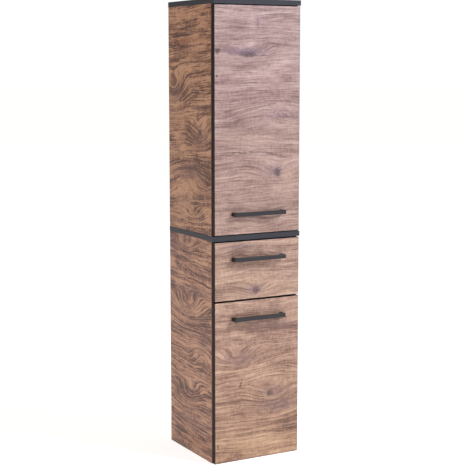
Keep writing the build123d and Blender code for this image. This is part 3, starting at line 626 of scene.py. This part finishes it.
@dataclass(frozen=True)
class Moulded:
    """Painted or moulded stuff with a fine speckle.

    Args:
        name: The finish's name.
        colour: Its colour.
        shade: The colour of its speckles.
        rough: Its roughness.
        speckle: The speckles' size in mm.
        coat: Its clear coat.
        gloss: Its specular level.
    """

    name: str
    colour: Colour
    shade: Colour
    rough: float = 0.45
    speckle: float = 0.5
    coat: float = 0.0
    gloss: float = 0.5

    CLOUD_CELL: ClassVar[Triple] = (14.0, 14.0, 9.0)
    RELIEF: ClassVar[float] = 0.00004

    def material(self) -> bpy.types.Material:
        """The finished stuff."""
        paint = Paint(self.name)
        spot = paint.place_mm()
        speckle = paint.noise(paint.stretched(spot, self.speckle, self.speckle, self.speckle), 2.0, 0.6)
        cloud = paint.noise(paint.stretched(spot, *self.CLOUD_CELL), 2.0)
        colour = paint.mixed((speckle * 1.4 + cloud * 0.6 - 0.55).clamped(), self.colour, self.shade)
        rough = self.rough + (speckle - 0.5) * 0.25 + (cloud - 0.5) * 0.15
        return paint.surface(colour, rough, speckle, self.RELIEF, coat=self.coat, gloss=self.gloss)


Finish = Union[OakPrint, PlainBoard, Metal, Moulded]


class Workshop:
    """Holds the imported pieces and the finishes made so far."""

    def __init__(self, nodes: Mapping[str, bpy.types.Object]) -> None:
        """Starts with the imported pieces.

        Args:
            nodes: The pieces by name.
        """
        self.nodes = nodes
        self.made: Dict[str, bpy.types.Material] = {}

    def finish(self, finish: Finish) -> bpy.types.Material:
        """The finish's material, made once.

        Args:
            finish: The finish.

        Returns:
            Its material.
        """
        if finish.name not in self.made:
            self.made[finish.name] = finish.material()
        return self.made[finish.name]

    def dress(self, names: Iterable[str], finish: Finish, softened: float = 0.0) -> None:
        """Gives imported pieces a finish.

        Args:
            names: The pieces.
            finish: Their finish.
            softened: The width of the rounding along their edges in metres, 0 for none.
        """
        for name in names:
            piece = self.nodes[name]
            for slot in piece.material_slots:
                slot.material = self.finish(finish)
            if softened:
                self._soften(piece, softened)
            LOG.info("%s wears %s", name, finish.name)

    @staticmethod
    def _soften(piece: bpy.types.Object, width: float) -> None:
        """Rounds a piece's sharp edges.

        Args:
            piece: The piece.
            width: How wide the rounding is, in metres.
        """
        weld = piece.modifiers.new("weld", "WELD")
        weld.merge_threshold = WELD_REACH
        bevel = piece.modifiers.new("soft_edges", "BEVEL")
        bevel.width = width
        bevel.segments = 2
        bevel.limit_method = "ANGLE"
        bevel.angle_limit = math.radians(SHARP_EDGE)


BLACK_BOARD = PlainBoard("black_board", rgb(50, 49, 57), rgb(42, 41, 48), rough=0.45, gloss=0.3)
BLACK_EDGE = PlainBoard("black_edge", rgb(17, 16, 18), rgb(12, 12, 13), rough=0.5, gloss=0.2)
BLACK_METAL = Moulded("black_metal", rgb(40, 36, 41), rgb(32, 30, 34), rough=0.42, speckle=0.35, gloss=0.4)
BACK_BOARD = PlainBoard("back_board", rgb(206, 196, 182), rgb(192, 180, 165), rough=0.6)
DRAWER_BOARD = PlainBoard("drawer_board", rgb(196, 196, 194), rgb(186, 186, 184), rough=0.5)
ZINC = Metal("zinc", rgb(196, 196, 192), rgb(150, 150, 148), rough=0.42, streak=(1.2, 1.2, 1.2))
STEEL = Metal("steel", rgb(206, 206, 204), rgb(160, 160, 162), rough=0.3)
NICKEL = Metal("nickel", rgb(214, 210, 202), rgb(172, 168, 160), rough=0.24)
RUNNER_METAL = Moulded("runner_metal", rgb(226, 226, 222), rgb(214, 214, 210), rough=0.38)
NYLON = Moulded("nylon", rgb(228, 228, 224), rgb(216, 216, 210), rough=0.5)
BEECH = OakPrint("beech", Grain.ALONG_X_OVER_Y, 31.0, tint=(1.6, 1.65, 1.3, 1.0), contrast=0.5)
SOFT_CLEAR = Moulded("soft_clear", rgb(214, 214, 210), rgb(200, 200, 196), rough=0.25, coat=0.5)

UPPER_DOOR_OAK = OakPrint(
    "oak_upper_door", Grain.ALONG_X_UP_Z, 1.0,
    marks=(
        Mark(Tone.KNOT, -34, 1249, 42, 15, 1.52), Mark(Tone.KNOT, -137, 1257, 14, 14, 1.28),
        Mark(Tone.HAZE, -40, 1256, 125, 22, 0.7), Mark(Tone.STREAK, 20, 1244, 42, 4, 0.8),
        Mark(Tone.PALE, -20, 1344, 22, 34, 0.4), Mark(Tone.HAZE, -2, 1344, 8, 26, 0.7),
        Mark(Tone.STREAK, 88, 1060, 52, 9, 0.6), Mark(Tone.HAZE, 80, 1068, 110, 26, 0.4),
        Mark(Tone.STREAK, -60, 955, 130, 7, 0.65), Mark(Tone.STREAK, 62, 945, 72, 7, 0.65, -13),
        Mark(Tone.KNOT, 70, 892, 19, 20, 1.36), Mark(Tone.HAZE, 62, 897, 52, 30, 0.6),
        Mark(Tone.PALE, 108, 880, 40, 42, 0.45), Mark(Tone.KNOT, -140, 1183, 5, 6, 1.28),
        Mark(Tone.STREAK, 39, 1217, 4, 6, 0.8), Mark(Tone.PALE, -30, 1000, 160, 30, 0.35),
        Mark(Tone.STREAK, -88, 723, 62, 9, 0.4, 6), Mark(Tone.PALE, -60, 738, 100, 8, 0.4),
        Mark(Tone.STREAK, 0, 1090, 160, 4, 0.5, 11), Mark(Tone.STREAK, -100, 1080, 52, 4, 0.5, 12),
    ),
    swells=(
        Swell(-34, 1251, 120, 40, 17), Swell(70, 890, 120, 60, 24), Swell(30, 1083, 190, 60, -30, 10),
        Swell(-20, 725, 170, 44, 16),
    ),
    tint=(0.905, 0.9, 0.885, 1.0), painted_cool_sheen_top=True, contrast=0.85,
)
DRAWER_OAK = OakPrint(
    "oak_drawer", Grain.ALONG_X_UP_Z, 2.0,
    marks=(
        Mark(Tone.KNOT, -5, 532, 22, 15, 1.44), Mark(Tone.HAZE, -8, 536, 56, 28, 0.6),
        Mark(Tone.PALE, -24, 566, 56, 24, 0.45), Mark(Tone.AMBER, -51, 573, 13, 6, 0.5, 30),
        Mark(Tone.HAZE, -60, 670, 100, 14, 0.5), Mark(Tone.STREAK, 1, 658, 4, 7, 0.6),
        Mark(Tone.PALE, -120, 600, 40, 70, 0.3),
    ),
    swells=(Swell(-5, 534, 100, 40, 20), Swell(-30, 660, 140, 36, -16)),
    tint=(0.98, 0.97, 0.9, 1.0), painted_cool_sheen_top=True, contrast=0.95,
)
LOWER_DOOR_OAK = OakPrint(
    "oak_lower_door", Grain.ALONG_X_UP_Z, 3.0,
    marks=(
        Mark(Tone.STREAK, -57, 245, 12, 5, 0.9, 62), Mark(Tone.KNOT, -60, 236, 5, 8, 0.96, -20),
        Mark(Tone.KNOT, 45, 203, 18, 15, 1.44), Mark(Tone.HAZE, 60, 205, 80, 34, 0.6),
        Mark(Tone.PALE, 52, 186, 34, 9, 0.5), Mark(Tone.PALE, 28, 196, 14, 14, 0.4),
        Mark(Tone.HAZE, 80, 160, 130, 34, 0.75), Mark(Tone.STREAK, 20, 82, 190, 7, 0.5),
        Mark(Tone.PALE, 0, 46, 220, 26, 0.4), Mark(Tone.KNOT, -138, 53, 4, 12, 1.28),
        Mark(Tone.HAZE, -60, 322, 90, 34, 0.45), Mark(Tone.PALE, -57, 280, 70, 16, 0.3),
        Mark(Tone.HAZE, 60, 420, 130, 30, 0.35), Mark(Tone.PALE, -40, 262, 20, 20, 0.4),
    ),
    swells=(
        Swell(-74, 326, 104, 50, 34), Swell(45, 203, 110, 58, 28), Swell(100, 300, 150, 70, -18, 20),
    ),
    tint=(0.94, 0.905, 0.86, 1.0), painted_cool_sheen_top=True, contrast=1.1,
)
# Painted shade: this copy of the oak decor is darker, warmer and more contrasty than the right side's,
# standing in for the shade on the upper left side panel.
PAINTED_SHADE_OAK_UPPER_SIDE = OakPrint(
    "oak_side_upper_painted_shade", Grain.ALONG_Y_UP_Z, 4.0,
    marks=(
        Mark(Tone.KNOT, 60, 1306, 130, 5, 1.28, -3), Mark(Tone.STREAK, -60, 1314, 130, 5, 0.7),
        Mark(Tone.STREAK, 40, 1322, 150, 6, 0.55), Mark(Tone.AMBER, 20, 1292, 170, 16, 0.5),
        Mark(Tone.PALE, -42, 1349, 4, 26, 0.5, 10), Mark(Tone.STREAK, -30, 1352, 8, 24, 0.5, 12),
        Mark(Tone.PALE, 20, 1250, 180, 26, 0.45), Mark(Tone.STREAK, 20, 1226, 180, 3, 0.6),
        Mark(Tone.HAZE, 110, 1130, 60, 44, 0.6), Mark(Tone.STREAK, 60, 1108, 110, 5, 0.5),
        Mark(Tone.KNOT, -50, 1012, 16, 16, 1.36), Mark(Tone.HAZE, -40, 1000, 70, 44, 0.7),
        Mark(Tone.STREAK, 50, 1052, 8, 22, 0.6, 12), Mark(Tone.PALE, 70, 1040, 60, 50, 0.35),
        Mark(Tone.HAZE, 30, 890, 190, 40, 0.5), Mark(Tone.KNOT, 122, 858, 7, 13, 1.28),
        Mark(Tone.PALE, 30, 850, 150, 26, 0.5), Mark(Tone.HAZE, 60, 800, 120, 26, 0.5),
        Mark(Tone.PALE, 16, 727, 5, 18, 0.7), Mark(Tone.PALE, -20, 762, 60, 18, 0.35),
    ),
    swells=(
        Swell(125, 1138, 130, 90, 62), Swell(-50, 1012, 110, 70, 36), Swell(40, 880, 200, 80, -40, -12),
        Swell(-9, 762, 110, 44, 26),
    ),
    slope=0.06, tint=(0.9, 0.72, 0.58, 1.0), contrast=2.75,
)
# Painted shade: this copy of the oak decor is darker, warmer and more contrasty than the right side's,
# standing in for the shade on the lower left side panel.
PAINTED_SHADE_OAK_LOWER_SIDE = OakPrint(
    "oak_side_lower_painted_shade", Grain.ALONG_Y_UP_Z, 5.0,
    marks=(
        Mark(Tone.STREAK, 46, 672, 44, 12, 0.7, -14), Mark(Tone.PALE, 34, 664, 34, 14, 0.4),
        Mark(Tone.HAZE, 120, 650, 50, 34, 0.6), Mark(Tone.STREAK, 106, 594, 26, 20, 0.7, 30),
        Mark(Tone.HAZE, 0, 520, 190, 24, 0.6), Mark(Tone.HAZE, 60, 452, 100, 26, 0.4),
        Mark(Tone.HAZE, -70, 372, 60, 40, 0.7), Mark(Tone.KNOT, 106, 176, 8, 9, 1.12),
        Mark(Tone.STREAK, 30, 172, 110, 5, 0.5, -10), Mark(Tone.HAZE, 0, 100, 190, 34, 0.45),
        Mark(Tone.PALE, 60, 305, 100, 40, 0.3), Mark(Tone.AMBER, -40, 40, 130, 26, 0.4),
    ),
    swells=(
        Swell(50, 668, 90, 46, 34), Swell(40, 460, 190, 80, 46), Swell(30, 185, 130, 62, 44, -12),
        Swell(-60, 330, 120, 60, -30),
    ),
    slope=-0.03, tint=(0.95, 0.765, 0.665, 1.0), contrast=2.7,
)
RIGHT_UPPER_OAK = OakPrint(
    "oak_upper_right", Grain.ALONG_Y_UP_Z, 14.0,
    marks=(
        Mark(Tone.KNOT, 20, 1180, 14, 12, 1.28), Mark(Tone.HAZE, 20, 1176, 80, 34, 0.6),
        Mark(Tone.STREAK, -20, 1010, 170, 6, 0.6, 3), Mark(Tone.PALE, 10, 905, 160, 30, 0.4),
        Mark(Tone.KNOT, -70, 800, 10, 12, 1.28), Mark(Tone.HAZE, -60, 806, 70, 30, 0.5),
    ),
    swells=(Swell(20, 1180, 130, 70, 40), Swell(-70, 800, 110, 60, 34), Swell(60, 960, 170, 60, -36)),
    slope=0.04, tint=(0.95, 0.87, 0.79, 1.0), contrast=1.4,
)
RIGHT_LOWER_OAK = OakPrint(
    "oak_lower_right", Grain.ALONG_Y_UP_Z, 15.0,
    marks=(
        Mark(Tone.KNOT, 60, 420, 15, 13, 1.28), Mark(Tone.HAZE, 54, 424, 90, 34, 0.6),
        Mark(Tone.STREAK, 0, 210, 180, 6, 0.6, -3), Mark(Tone.PALE, 10, 120, 160, 30, 0.4),
    ),
    swells=(Swell(60, 420, 140, 70, 46), Swell(-40, 180, 170, 80, 54)),
    slope=-0.04, tint=(0.95, 0.88, 0.81, 1.0), contrast=1.4,
)
FLAT_OAK = OakPrint("oak_flat", Grain.ALONG_X_OVER_Y, 21.0, tint=(0.97, 0.9, 0.82, 1.0), contrast=1.1)


class Round:
    """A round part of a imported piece, measured about the axis that it turns on.

    It has a radius and an inner one, the radius of its neck, its whole length, its head's, the middle of the
    head's underside, and the way that the head faces.
    """

    WIDE_SHARE: ClassVar[float] = 0.9

    def __init__(self, points: Sequence[Vector], axis: int) -> None:
        """Measures the part.

        Args:
            points: Its corners, in metres.
            axis: The number of the axis that it turns on.
        """
        first, second = [number for number in range(3) if number != axis]
        lows = [min(point[number] for point in points) for number in range(3)]
        highs = [max(point[number] for point in points) for number in range(3)]
        middle = [(low + high) / 2 for low, high in zip(lows, highs)]
        rows = [
            (math.hypot(point[first] - middle[first], point[second] - middle[second]), point[axis])
            for point in points
        ]
        self.radius = max(radius for radius, height in rows)
        self.inner = min(radius for radius, height in rows)
        limit = self.WIDE_SHARE * self.radius
        wide = [height for radius, height in rows if radius > limit]
        narrow = [radius for radius, height in rows if radius <= limit]
        self.neck = max(narrow, default=self.radius)
        self.length = highs[axis] - lows[axis]
        self.head = max(wide) - min(wide)
        outward = 1.0 if highs[axis] - max(wide) < min(wide) - lows[axis] else -1.0
        middle[axis] = min(wide) if outward > 0 else max(wide)
        self.seat = Vector(middle)
        self.way = Vector([outward if number == axis else 0.0 for number in range(3)])

    def stance(self) -> Matrix:
        """The place of the head's underside, with Z out of the head."""
        return Matrix.Translation(self.seat) @ self.way.to_track_quat("Z", "Y").to_matrix().to_4x4()


class Turnery:
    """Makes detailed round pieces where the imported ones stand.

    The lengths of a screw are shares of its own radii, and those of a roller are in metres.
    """

    SIDES: ClassVar[int] = 32
    HEAD_PROFILE: ClassVar[Tuple[Tuple[float, float], ...]] = (
        (0.96, 0.0), (1.0, 0.15), (1.0, 0.4), (0.94, 0.66), (0.8, 0.88), (0.62, 1.0),
    )
    PITCH: ClassVar[float] = 0.4
    THREAD_ROOT: ClassVar[float] = 0.86
    TIP: ClassVar[float] = 1.6
    RECESS_REACH: ClassVar[float] = 0.5
    RECESS_HALF: ClassVar[float] = 0.13
    RECESS_DEPTH: ClassVar[float] = 0.7
    RECESS_TAPER: ClassVar[float] = 0.8
    HUB_WALL: ClassVar[float] = 0.0012
    TYRE_WALL: ClassVar[float] = 0.0016
    DISH: ClassVar[float] = 0.0008
    TYRE_ROUNDING: ClassVar[float] = 0.0006
    DOME_FOOT: ClassVar[float] = 0.25
    DOME_STEPS: ClassVar[int] = 6
    DOME_END: ClassVar[float] = 88.0
    SHARP_FROM: ClassVar[float] = 32.0

    def __init__(self, shop: Workshop) -> None:
        """Keeps the workshop that the pieces belong to.

        Args:
            shop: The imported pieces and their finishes.
        """
        self.shop = shop

    def screws(self, node: str, axis: int, finish: Finish) -> None:
        """Stands a rounded screw with a cross recess where each packed screw is.

        Args:
            node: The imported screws.
            axis: The number of the axis that they turn on.
            finish: Their finish.
        """
        mesh = bmesh.new()
        for part in self._parts(node, axis):
            shank = part.neck
            end = part.head - part.length
            pitch = self.PITCH * shank
            turn = end + self.TIP * shank
            profile = [(0.02 * shank, end), (0.9 * shank, turn)]
            while turn + pitch < -2 * pitch:
                profile += [(shank, turn + pitch / 2), (self.THREAD_ROOT * shank, turn + pitch)]
                turn += pitch
            profile.append((shank, 0.0))
            profile += [(wide * part.radius, high * part.head) for wide, high in self.HEAD_PROFILE]
            rings = self._turn(mesh, profile, part.stance())
            self._cross(mesh, rings[-1], part)
        self._stand(mesh, node, f"{node}_cross_headed", finish)

    def rollers(self, node: str, axis: int, finish: Finish) -> None:
        """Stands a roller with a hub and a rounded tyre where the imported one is.

        Args:
            node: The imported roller.
            axis: The number of the axis that it turns on.
            finish: Its finish.
        """
        mesh = bmesh.new()
        for part in self._parts(node, axis):
            rim, bore, width = part.radius, part.inner, part.length
            low, high = part.head - width, part.head
            hub, tyre = bore + self.HUB_WALL, rim - self.TYRE_WALL
            dish, soft = self.DISH, self.TYRE_ROUNDING
            profile = [
                (bore, low), (bore, high), (hub, high), (hub + dish / 2, high - dish),
                (tyre - dish / 2, high - dish), (tyre, high), (rim - soft, high), (rim, high - soft),
                (rim, low + soft), (rim - soft, low), (tyre, low), (tyre - dish / 2, low + dish),
                (hub + dish / 2, low + dish), (hub, low), (bore, low),
            ]
            self._turn(mesh, profile, part.stance())
        bmesh.ops.remove_doubles(mesh, verts=mesh.verts, dist=1e-7)
        self._stand(mesh, node, f"{node}_moulded", finish)

    def domes(self, node: str, axis: int, finish: Finish) -> None:
        """Stands a domed cushion where each packed bumper is.

        Args:
            node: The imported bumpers.
            axis: The number of the axis that they face along.
            finish: Their finish.
        """
        rise = 1.0 - self.DOME_FOOT
        mesh = bmesh.new()
        for part in self._parts(node, axis):
            rim, top = part.radius, part.length
            profile = [(0.0001 * rim, 0.0), (rim, 0.0), (rim, self.DOME_FOOT * top)]
            for step in range(1, self.DOME_STEPS + 1):
                turn = math.radians(self.DOME_END * step / self.DOME_STEPS)
                profile.append((rim * math.cos(turn), top * (self.DOME_FOOT + rise * math.sin(turn))))
            self._turn(mesh, profile, part.stance())
        self._stand(mesh, node, f"{node}_domed", finish)

    def _parts(self, node: str, axis: int) -> List[Round]:
        """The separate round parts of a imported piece.

        Args:
            node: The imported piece.
            axis: The number of the axis that they turn on.

        Returns:
            The parts, by the place of their lowest corners.
        """
        mesh = bmesh.new()
        mesh.from_mesh(self.shop.nodes[node].data)
        bmesh.ops.remove_doubles(mesh, verts=mesh.verts, dist=WELD_REACH)
        left = set(mesh.verts)
        found: List[List[Vector]] = []
        while left:
            reached = [left.pop()]
            points: List[Vector] = []
            while reached:
                corner = reached.pop()
                points.append(corner.co.copy())
                beside = {edge.other_vert(corner) for edge in corner.link_edges} & left
                left -= beside
                reached.extend(beside)
            found.append(points)
        mesh.free()
        return [Round(points, axis) for points in sorted(found, key=lambda rows: min(map(tuple, rows)))]

    def _turn(
        self, mesh: bmesh.types.BMesh, profile: Sequence[Tuple[float, float]], stance: Matrix
    ) -> List[List[bmesh.types.BMVert]]:
        """Turns a profile into a skin.

        Args:
            mesh: The mesh that gets it.
            profile: The radius and height of each ring, in metres.
            stance: Where it stands.

        Returns:
            The rings' corners.
        """
        turns = [2 * math.pi * side / self.SIDES for side in range(self.SIDES)]
        rings = []
        for radius, height in profile:
            places = [Vector((radius * math.cos(turn), radius * math.sin(turn), height)) for turn in turns]
            rings.append([mesh.verts.new(stance @ place) for place in places])
        for low, high in zip(rings, rings[1:]):
            for side in range(self.SIDES):
                after = (side + 1) % self.SIDES
                mesh.faces.new((low[side], low[after], high[after], high[side])).smooth = True
        return rings

    def _cross(self, mesh: bmesh.types.BMesh, rim: Sequence[bmesh.types.BMVert], part: Round) -> None:
        """Closes a screw's head with a cross recess.

        Args:
            mesh: The screw's mesh.
            rim: The ring of corners around the head's flat top.
            part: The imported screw.
        """
        stance, top, taper = part.stance(), part.head, self.RECESS_TAPER
        reach, half = self.RECESS_REACH * part.radius, self.RECESS_HALF * part.radius
        floor = top - self.RECESS_DEPTH * part.head
        outline = [
            (x * math.cos(turn) - y * math.sin(turn), x * math.sin(turn) + y * math.cos(turn))
            for turn in (math.radians(90 * arm) for arm in range(4))
            for x, y in ((reach, -half), (reach, half), (half, half))
        ]
        upper = [mesh.verts.new(stance @ Vector((x, y, top))) for x, y in outline]
        lower = [mesh.verts.new(stance @ Vector((taper * x, taper * y, floor))) for x, y in outline]
        for side in range(len(outline)):
            after = (side + 1) % len(outline)
            mesh.faces.new((upper[after], upper[side], lower[side], lower[after]))
        mesh.faces.new(lower)
        edges = []
        for loop in (rim, upper):
            edges += [mesh.edges.get((loop[side - 1], loop[side])) for side in range(len(loop))]
        bmesh.ops.triangle_fill(mesh, use_beauty=True, edges=edges)

    def _stand(self, mesh: bmesh.types.BMesh, node: str, name: str, finish: Finish) -> None:
        """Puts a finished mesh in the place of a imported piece.

        Args:
            mesh: The mesh, which is freed.
            node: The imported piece.
            name: The new piece's name.
            finish: Its finish.
        """
        bmesh.ops.recalc_face_normals(mesh, faces=mesh.faces)
        data = bpy.data.meshes.new(name)
        mesh.to_mesh(data)
        mesh.free()
        data.materials.append(self.shop.finish(finish))
        data.set_sharp_from_angle(angle=math.radians(self.SHARP_FROM))
        piece = bpy.data.objects.new(name, data)
        bpy.context.scene.collection.objects.link(piece)
        bodies = frame["record"]["behaviour"]["bodies"]
        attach(piece, next(body for body, nodes in bodies.items() if node in nodes))
        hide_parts(node)
        LOG.info("%s stands for %s", name, node)


@dataclass
class Carcase:
    """The body: plates, side panels, shelves, backs and what joins them.

    Args:
        softened: The rounding of the boards' edges in metres.
    """

    softened: float = 0.0004

    def build(self, shop: Workshop) -> None:
        """Dresses the body's pieces.

        Args:
            shop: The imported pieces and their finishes.
        """
        shop.dress(("top_plate", "middle_plate"), BLACK_BOARD, self.softened)
        # The left side panels wear copies of the oak decor with painted shade.
        shop.dress(("upper_side_left",), PAINTED_SHADE_OAK_UPPER_SIDE)
        shop.dress(("lower_side_left",), PAINTED_SHADE_OAK_LOWER_SIDE)
        shop.dress(("upper_side_right",), RIGHT_UPPER_OAK)
        shop.dress(("lower_side_right",), RIGHT_LOWER_OAK)
        boards = ("bottom_panel", "divider_shelf", "upper_shelf_low", "upper_shelf_high", "lower_shelf")
        shop.dress(boards, FLAT_OAK)
        shop.dress(("upper_back_panel", "lower_back_panel"), BACK_BOARD)
        shop.dress(("cam_locks",), ZINC)
        shop.dress(("cam_bolts", "shelf_pins"), STEEL)
        shop.dress(("dowels",), BEECH)
        Turnery(shop).domes("front_bumpers", Y_AXIS, SOFT_CLEAR)


@dataclass
class Fronts:
    """The two doors and the drawer front with their edging and handles.

    Args:
        softened: The rounding of the handles' edges in metres.
    """

    softened: float = 0.0003

    def build(self, shop: Workshop) -> None:
        """Dresses the fronts.

        Args:
            shop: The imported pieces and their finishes.
        """
        shop.dress(("upper_door",), UPPER_DOOR_OAK)
        shop.dress(("drawer_front",), DRAWER_OAK)
        shop.dress(("lower_door",), LOWER_DOOR_OAK)
        shop.dress(("upper_door_edging", "drawer_front_edging", "lower_door_edging"), BLACK_EDGE)
        shop.dress(("upper_door_handle", "drawer_handle", "lower_door_handle"), BLACK_METAL, self.softened)
        for front in ("upper_door", "drawer", "lower_door"):
            Turnery(shop).screws(f"{front}_handle_screws", Y_AXIS, STEEL)


@dataclass
class Hinges:
    """The four cup hinges."""

    def build(self, shop: Workshop) -> None:
        """Dresses the hinges.

        Args:
            shop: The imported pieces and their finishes.
        """
        for side in ("upper", "lower"):
            shop.dress((f"{side}_hinge_cups", f"{side}_outer_links", f"{side}_inner_links"), NICKEL)
            Turnery(shop).screws(f"{side}_cup_screws", Y_AXIS, STEEL)
        shop.dress(("hinge_arms", "hinge_plates"), NICKEL)
        Turnery(shop).screws("hinge_plate_screws", X_AXIS, STEEL)


@dataclass
class Drawer:
    """The drawer's box and its runners."""

    def build(self, shop: Workshop) -> None:
        """Dresses the drawer and its runners.

        Args:
            shop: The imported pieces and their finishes.
        """
        shop.dress(("drawer_side_left", "drawer_side_right", "drawer_back"), DRAWER_BOARD)
        shop.dress(("drawer_bottom",), BACK_BOARD)
        shop.dress(("drawer_dowels",), BEECH)
        for side in ("left", "right"):
            shop.dress((f"cabinet_runner_{side}", f"drawer_runner_{side}"), RUNNER_METAL)
            for roller in (f"front_roller_{side}", f"rear_roller_{side}"):
                Turnery(shop).rollers(roller, X_AXIS, NYLON)
        Turnery(shop).screws("runner_screws", X_AXIS, STEEL)


@dataclass
class WallHangers:
    """The two hangers that hold the cabinet to the wall."""

    def build(self, shop: Workshop) -> None:
        """Dresses the hangers.

        Args:
            shop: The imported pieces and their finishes.
        """
        shop.dress(("hanger_housings",), NYLON)
        shop.dress(("hanger_hooks", "hanger_screws", "wall_plates"), STEEL)


@dataclass
class Studio:
    """The camera, the floor and the lights.

    Args:
        camera_place: Where the camera stands, in metres.
        camera_turn: How far it is turned to the right of the depth axis, in degrees.
        camera_dip: How far it looks down, in degrees.
        lens: Its focal length in mm.
        floor_half: Half the floor's side, in metres.
        floor_glow: How strongly the floor shines by itself, which keeps it pale to the horizon.
        fill_colour: The colour of the room's light.
        fill_strength: Its strength.
        key_place: Where the main light hangs, in metres.
        key_target: The point that it faces.
        key_side: The length of its side, in metres.
        key_power: Its power in watts.
        key_colour: Its colour.
    """

    camera_place: Triple = (-1.871, -3.365, 1.209)
    camera_turn: float = 29.06
    camera_dip: float = 7.74
    lens: float = 94.53
    floor_half: float = 60.0
    floor_glow: float = 0.78
    fill_colour: Colour = (1.0, 0.86, 0.78, 1.0)
    fill_strength: float = 0.3
    key_place: Triple = (2.7, -3.3, 3.9)
    key_target: Triple = (0.0, -0.1, 0.8)
    key_side: float = 1.6
    key_power: float = 262.0
    key_colour: Triple = (0.86, 0.94, 1.0)

    FLOOR_CELL: ClassVar[float] = 0.4

    def build(self) -> None:
        """Sets up the studio."""
        self._camera()
        self._floor()
        self._world()
        self._key()
        bpy.context.scene.view_settings.view_transform = "Standard"

    def _camera(self) -> None:
        """Stands the camera where the photograph was taken from."""
        data = bpy.data.cameras.new("camera")
        data.lens = self.lens
        camera = bpy.data.objects.new("camera", data)
        camera.location = self.camera_place
        camera.rotation_euler = (math.radians(90 - self.camera_dip), 0.0, -math.radians(self.camera_turn))
        bpy.context.scene.collection.objects.link(camera)
        bpy.context.scene.camera = camera

    def _floor(self) -> None:
        """Lays the pale floor."""
        half = self.floor_half
        mesh = bpy.data.meshes.new("floor")
        corners = [(-half, -half, 0.0), (half, -half, 0.0), (half, half, 0.0), (-half, half, 0.0)]
        mesh.from_pydata(corners, [], [(0, 1, 2, 3)])
        floor = bpy.data.objects.new("floor", mesh)
        bpy.context.scene.collection.objects.link(floor)
        paint = Paint("floor_paint")
        spot = paint.stretched(paint.place(), self.FLOOR_CELL, self.FLOOR_CELL, self.FLOOR_CELL)
        colour = paint.mixed(paint.noise(spot, 3.0), rgb(244, 244, 244), rgb(240, 240, 240))
        mesh.materials.append(paint.surface(colour, 0.7, gloss=0.2, glow=self.floor_glow))

    def _world(self) -> None:
        """Fills the room with even light, and shows it white behind the cabinet."""
        world = bpy.data.worlds.new("room")
        world.use_nodes = True
        nodes, links = world.node_tree.nodes, world.node_tree.links
        nodes.clear()
        seen = nodes.new("ShaderNodeBackground")
        seen.inputs["Color"].default_value = (1.0, 1.0, 1.0, 1.0)
        fill = nodes.new("ShaderNodeBackground")
        fill.inputs["Color"].default_value = self.fill_colour
        fill.inputs["Strength"].default_value = self.fill_strength
        path = nodes.new("ShaderNodeLightPath")
        mixed = nodes.new("ShaderNodeMixShader")
        end = nodes.new("ShaderNodeOutputWorld")
        links.new(path.outputs["Is Camera Ray"], mixed.inputs[0])
        links.new(fill.outputs[0], mixed.inputs[1])
        links.new(seen.outputs[0], mixed.inputs[2])
        links.new(mixed.outputs[0], end.inputs["Surface"])
        bpy.context.scene.world = world

    def _key(self) -> None:
        """Hangs the main light, a square softbox."""
        data = bpy.data.lights.new("key", "AREA")
        data.size = self.key_side
        data.energy = self.key_power
        data.color = self.key_colour
        light = bpy.data.objects.new("key", data)
        light.location = self.key_place
        way = Vector(self.key_target) - Vector(self.key_place)
        light.rotation_euler = way.to_track_quat("-Z", "Y").to_euler()
        bpy.context.scene.collection.objects.link(light)


def main() -> None:
    """Builds every sub-assembly in order."""
    logging.basicConfig(level=logging.INFO, format="%(name)s: %(message)s")
    shop = Workshop(frame["nodes"])
    Studio().build()
    for assembly in (Carcase(), Fronts(), Hinges(), Drawer(), WallHangers()):
        assembly.build(shop)


if __name__ == "__main__":
    main()
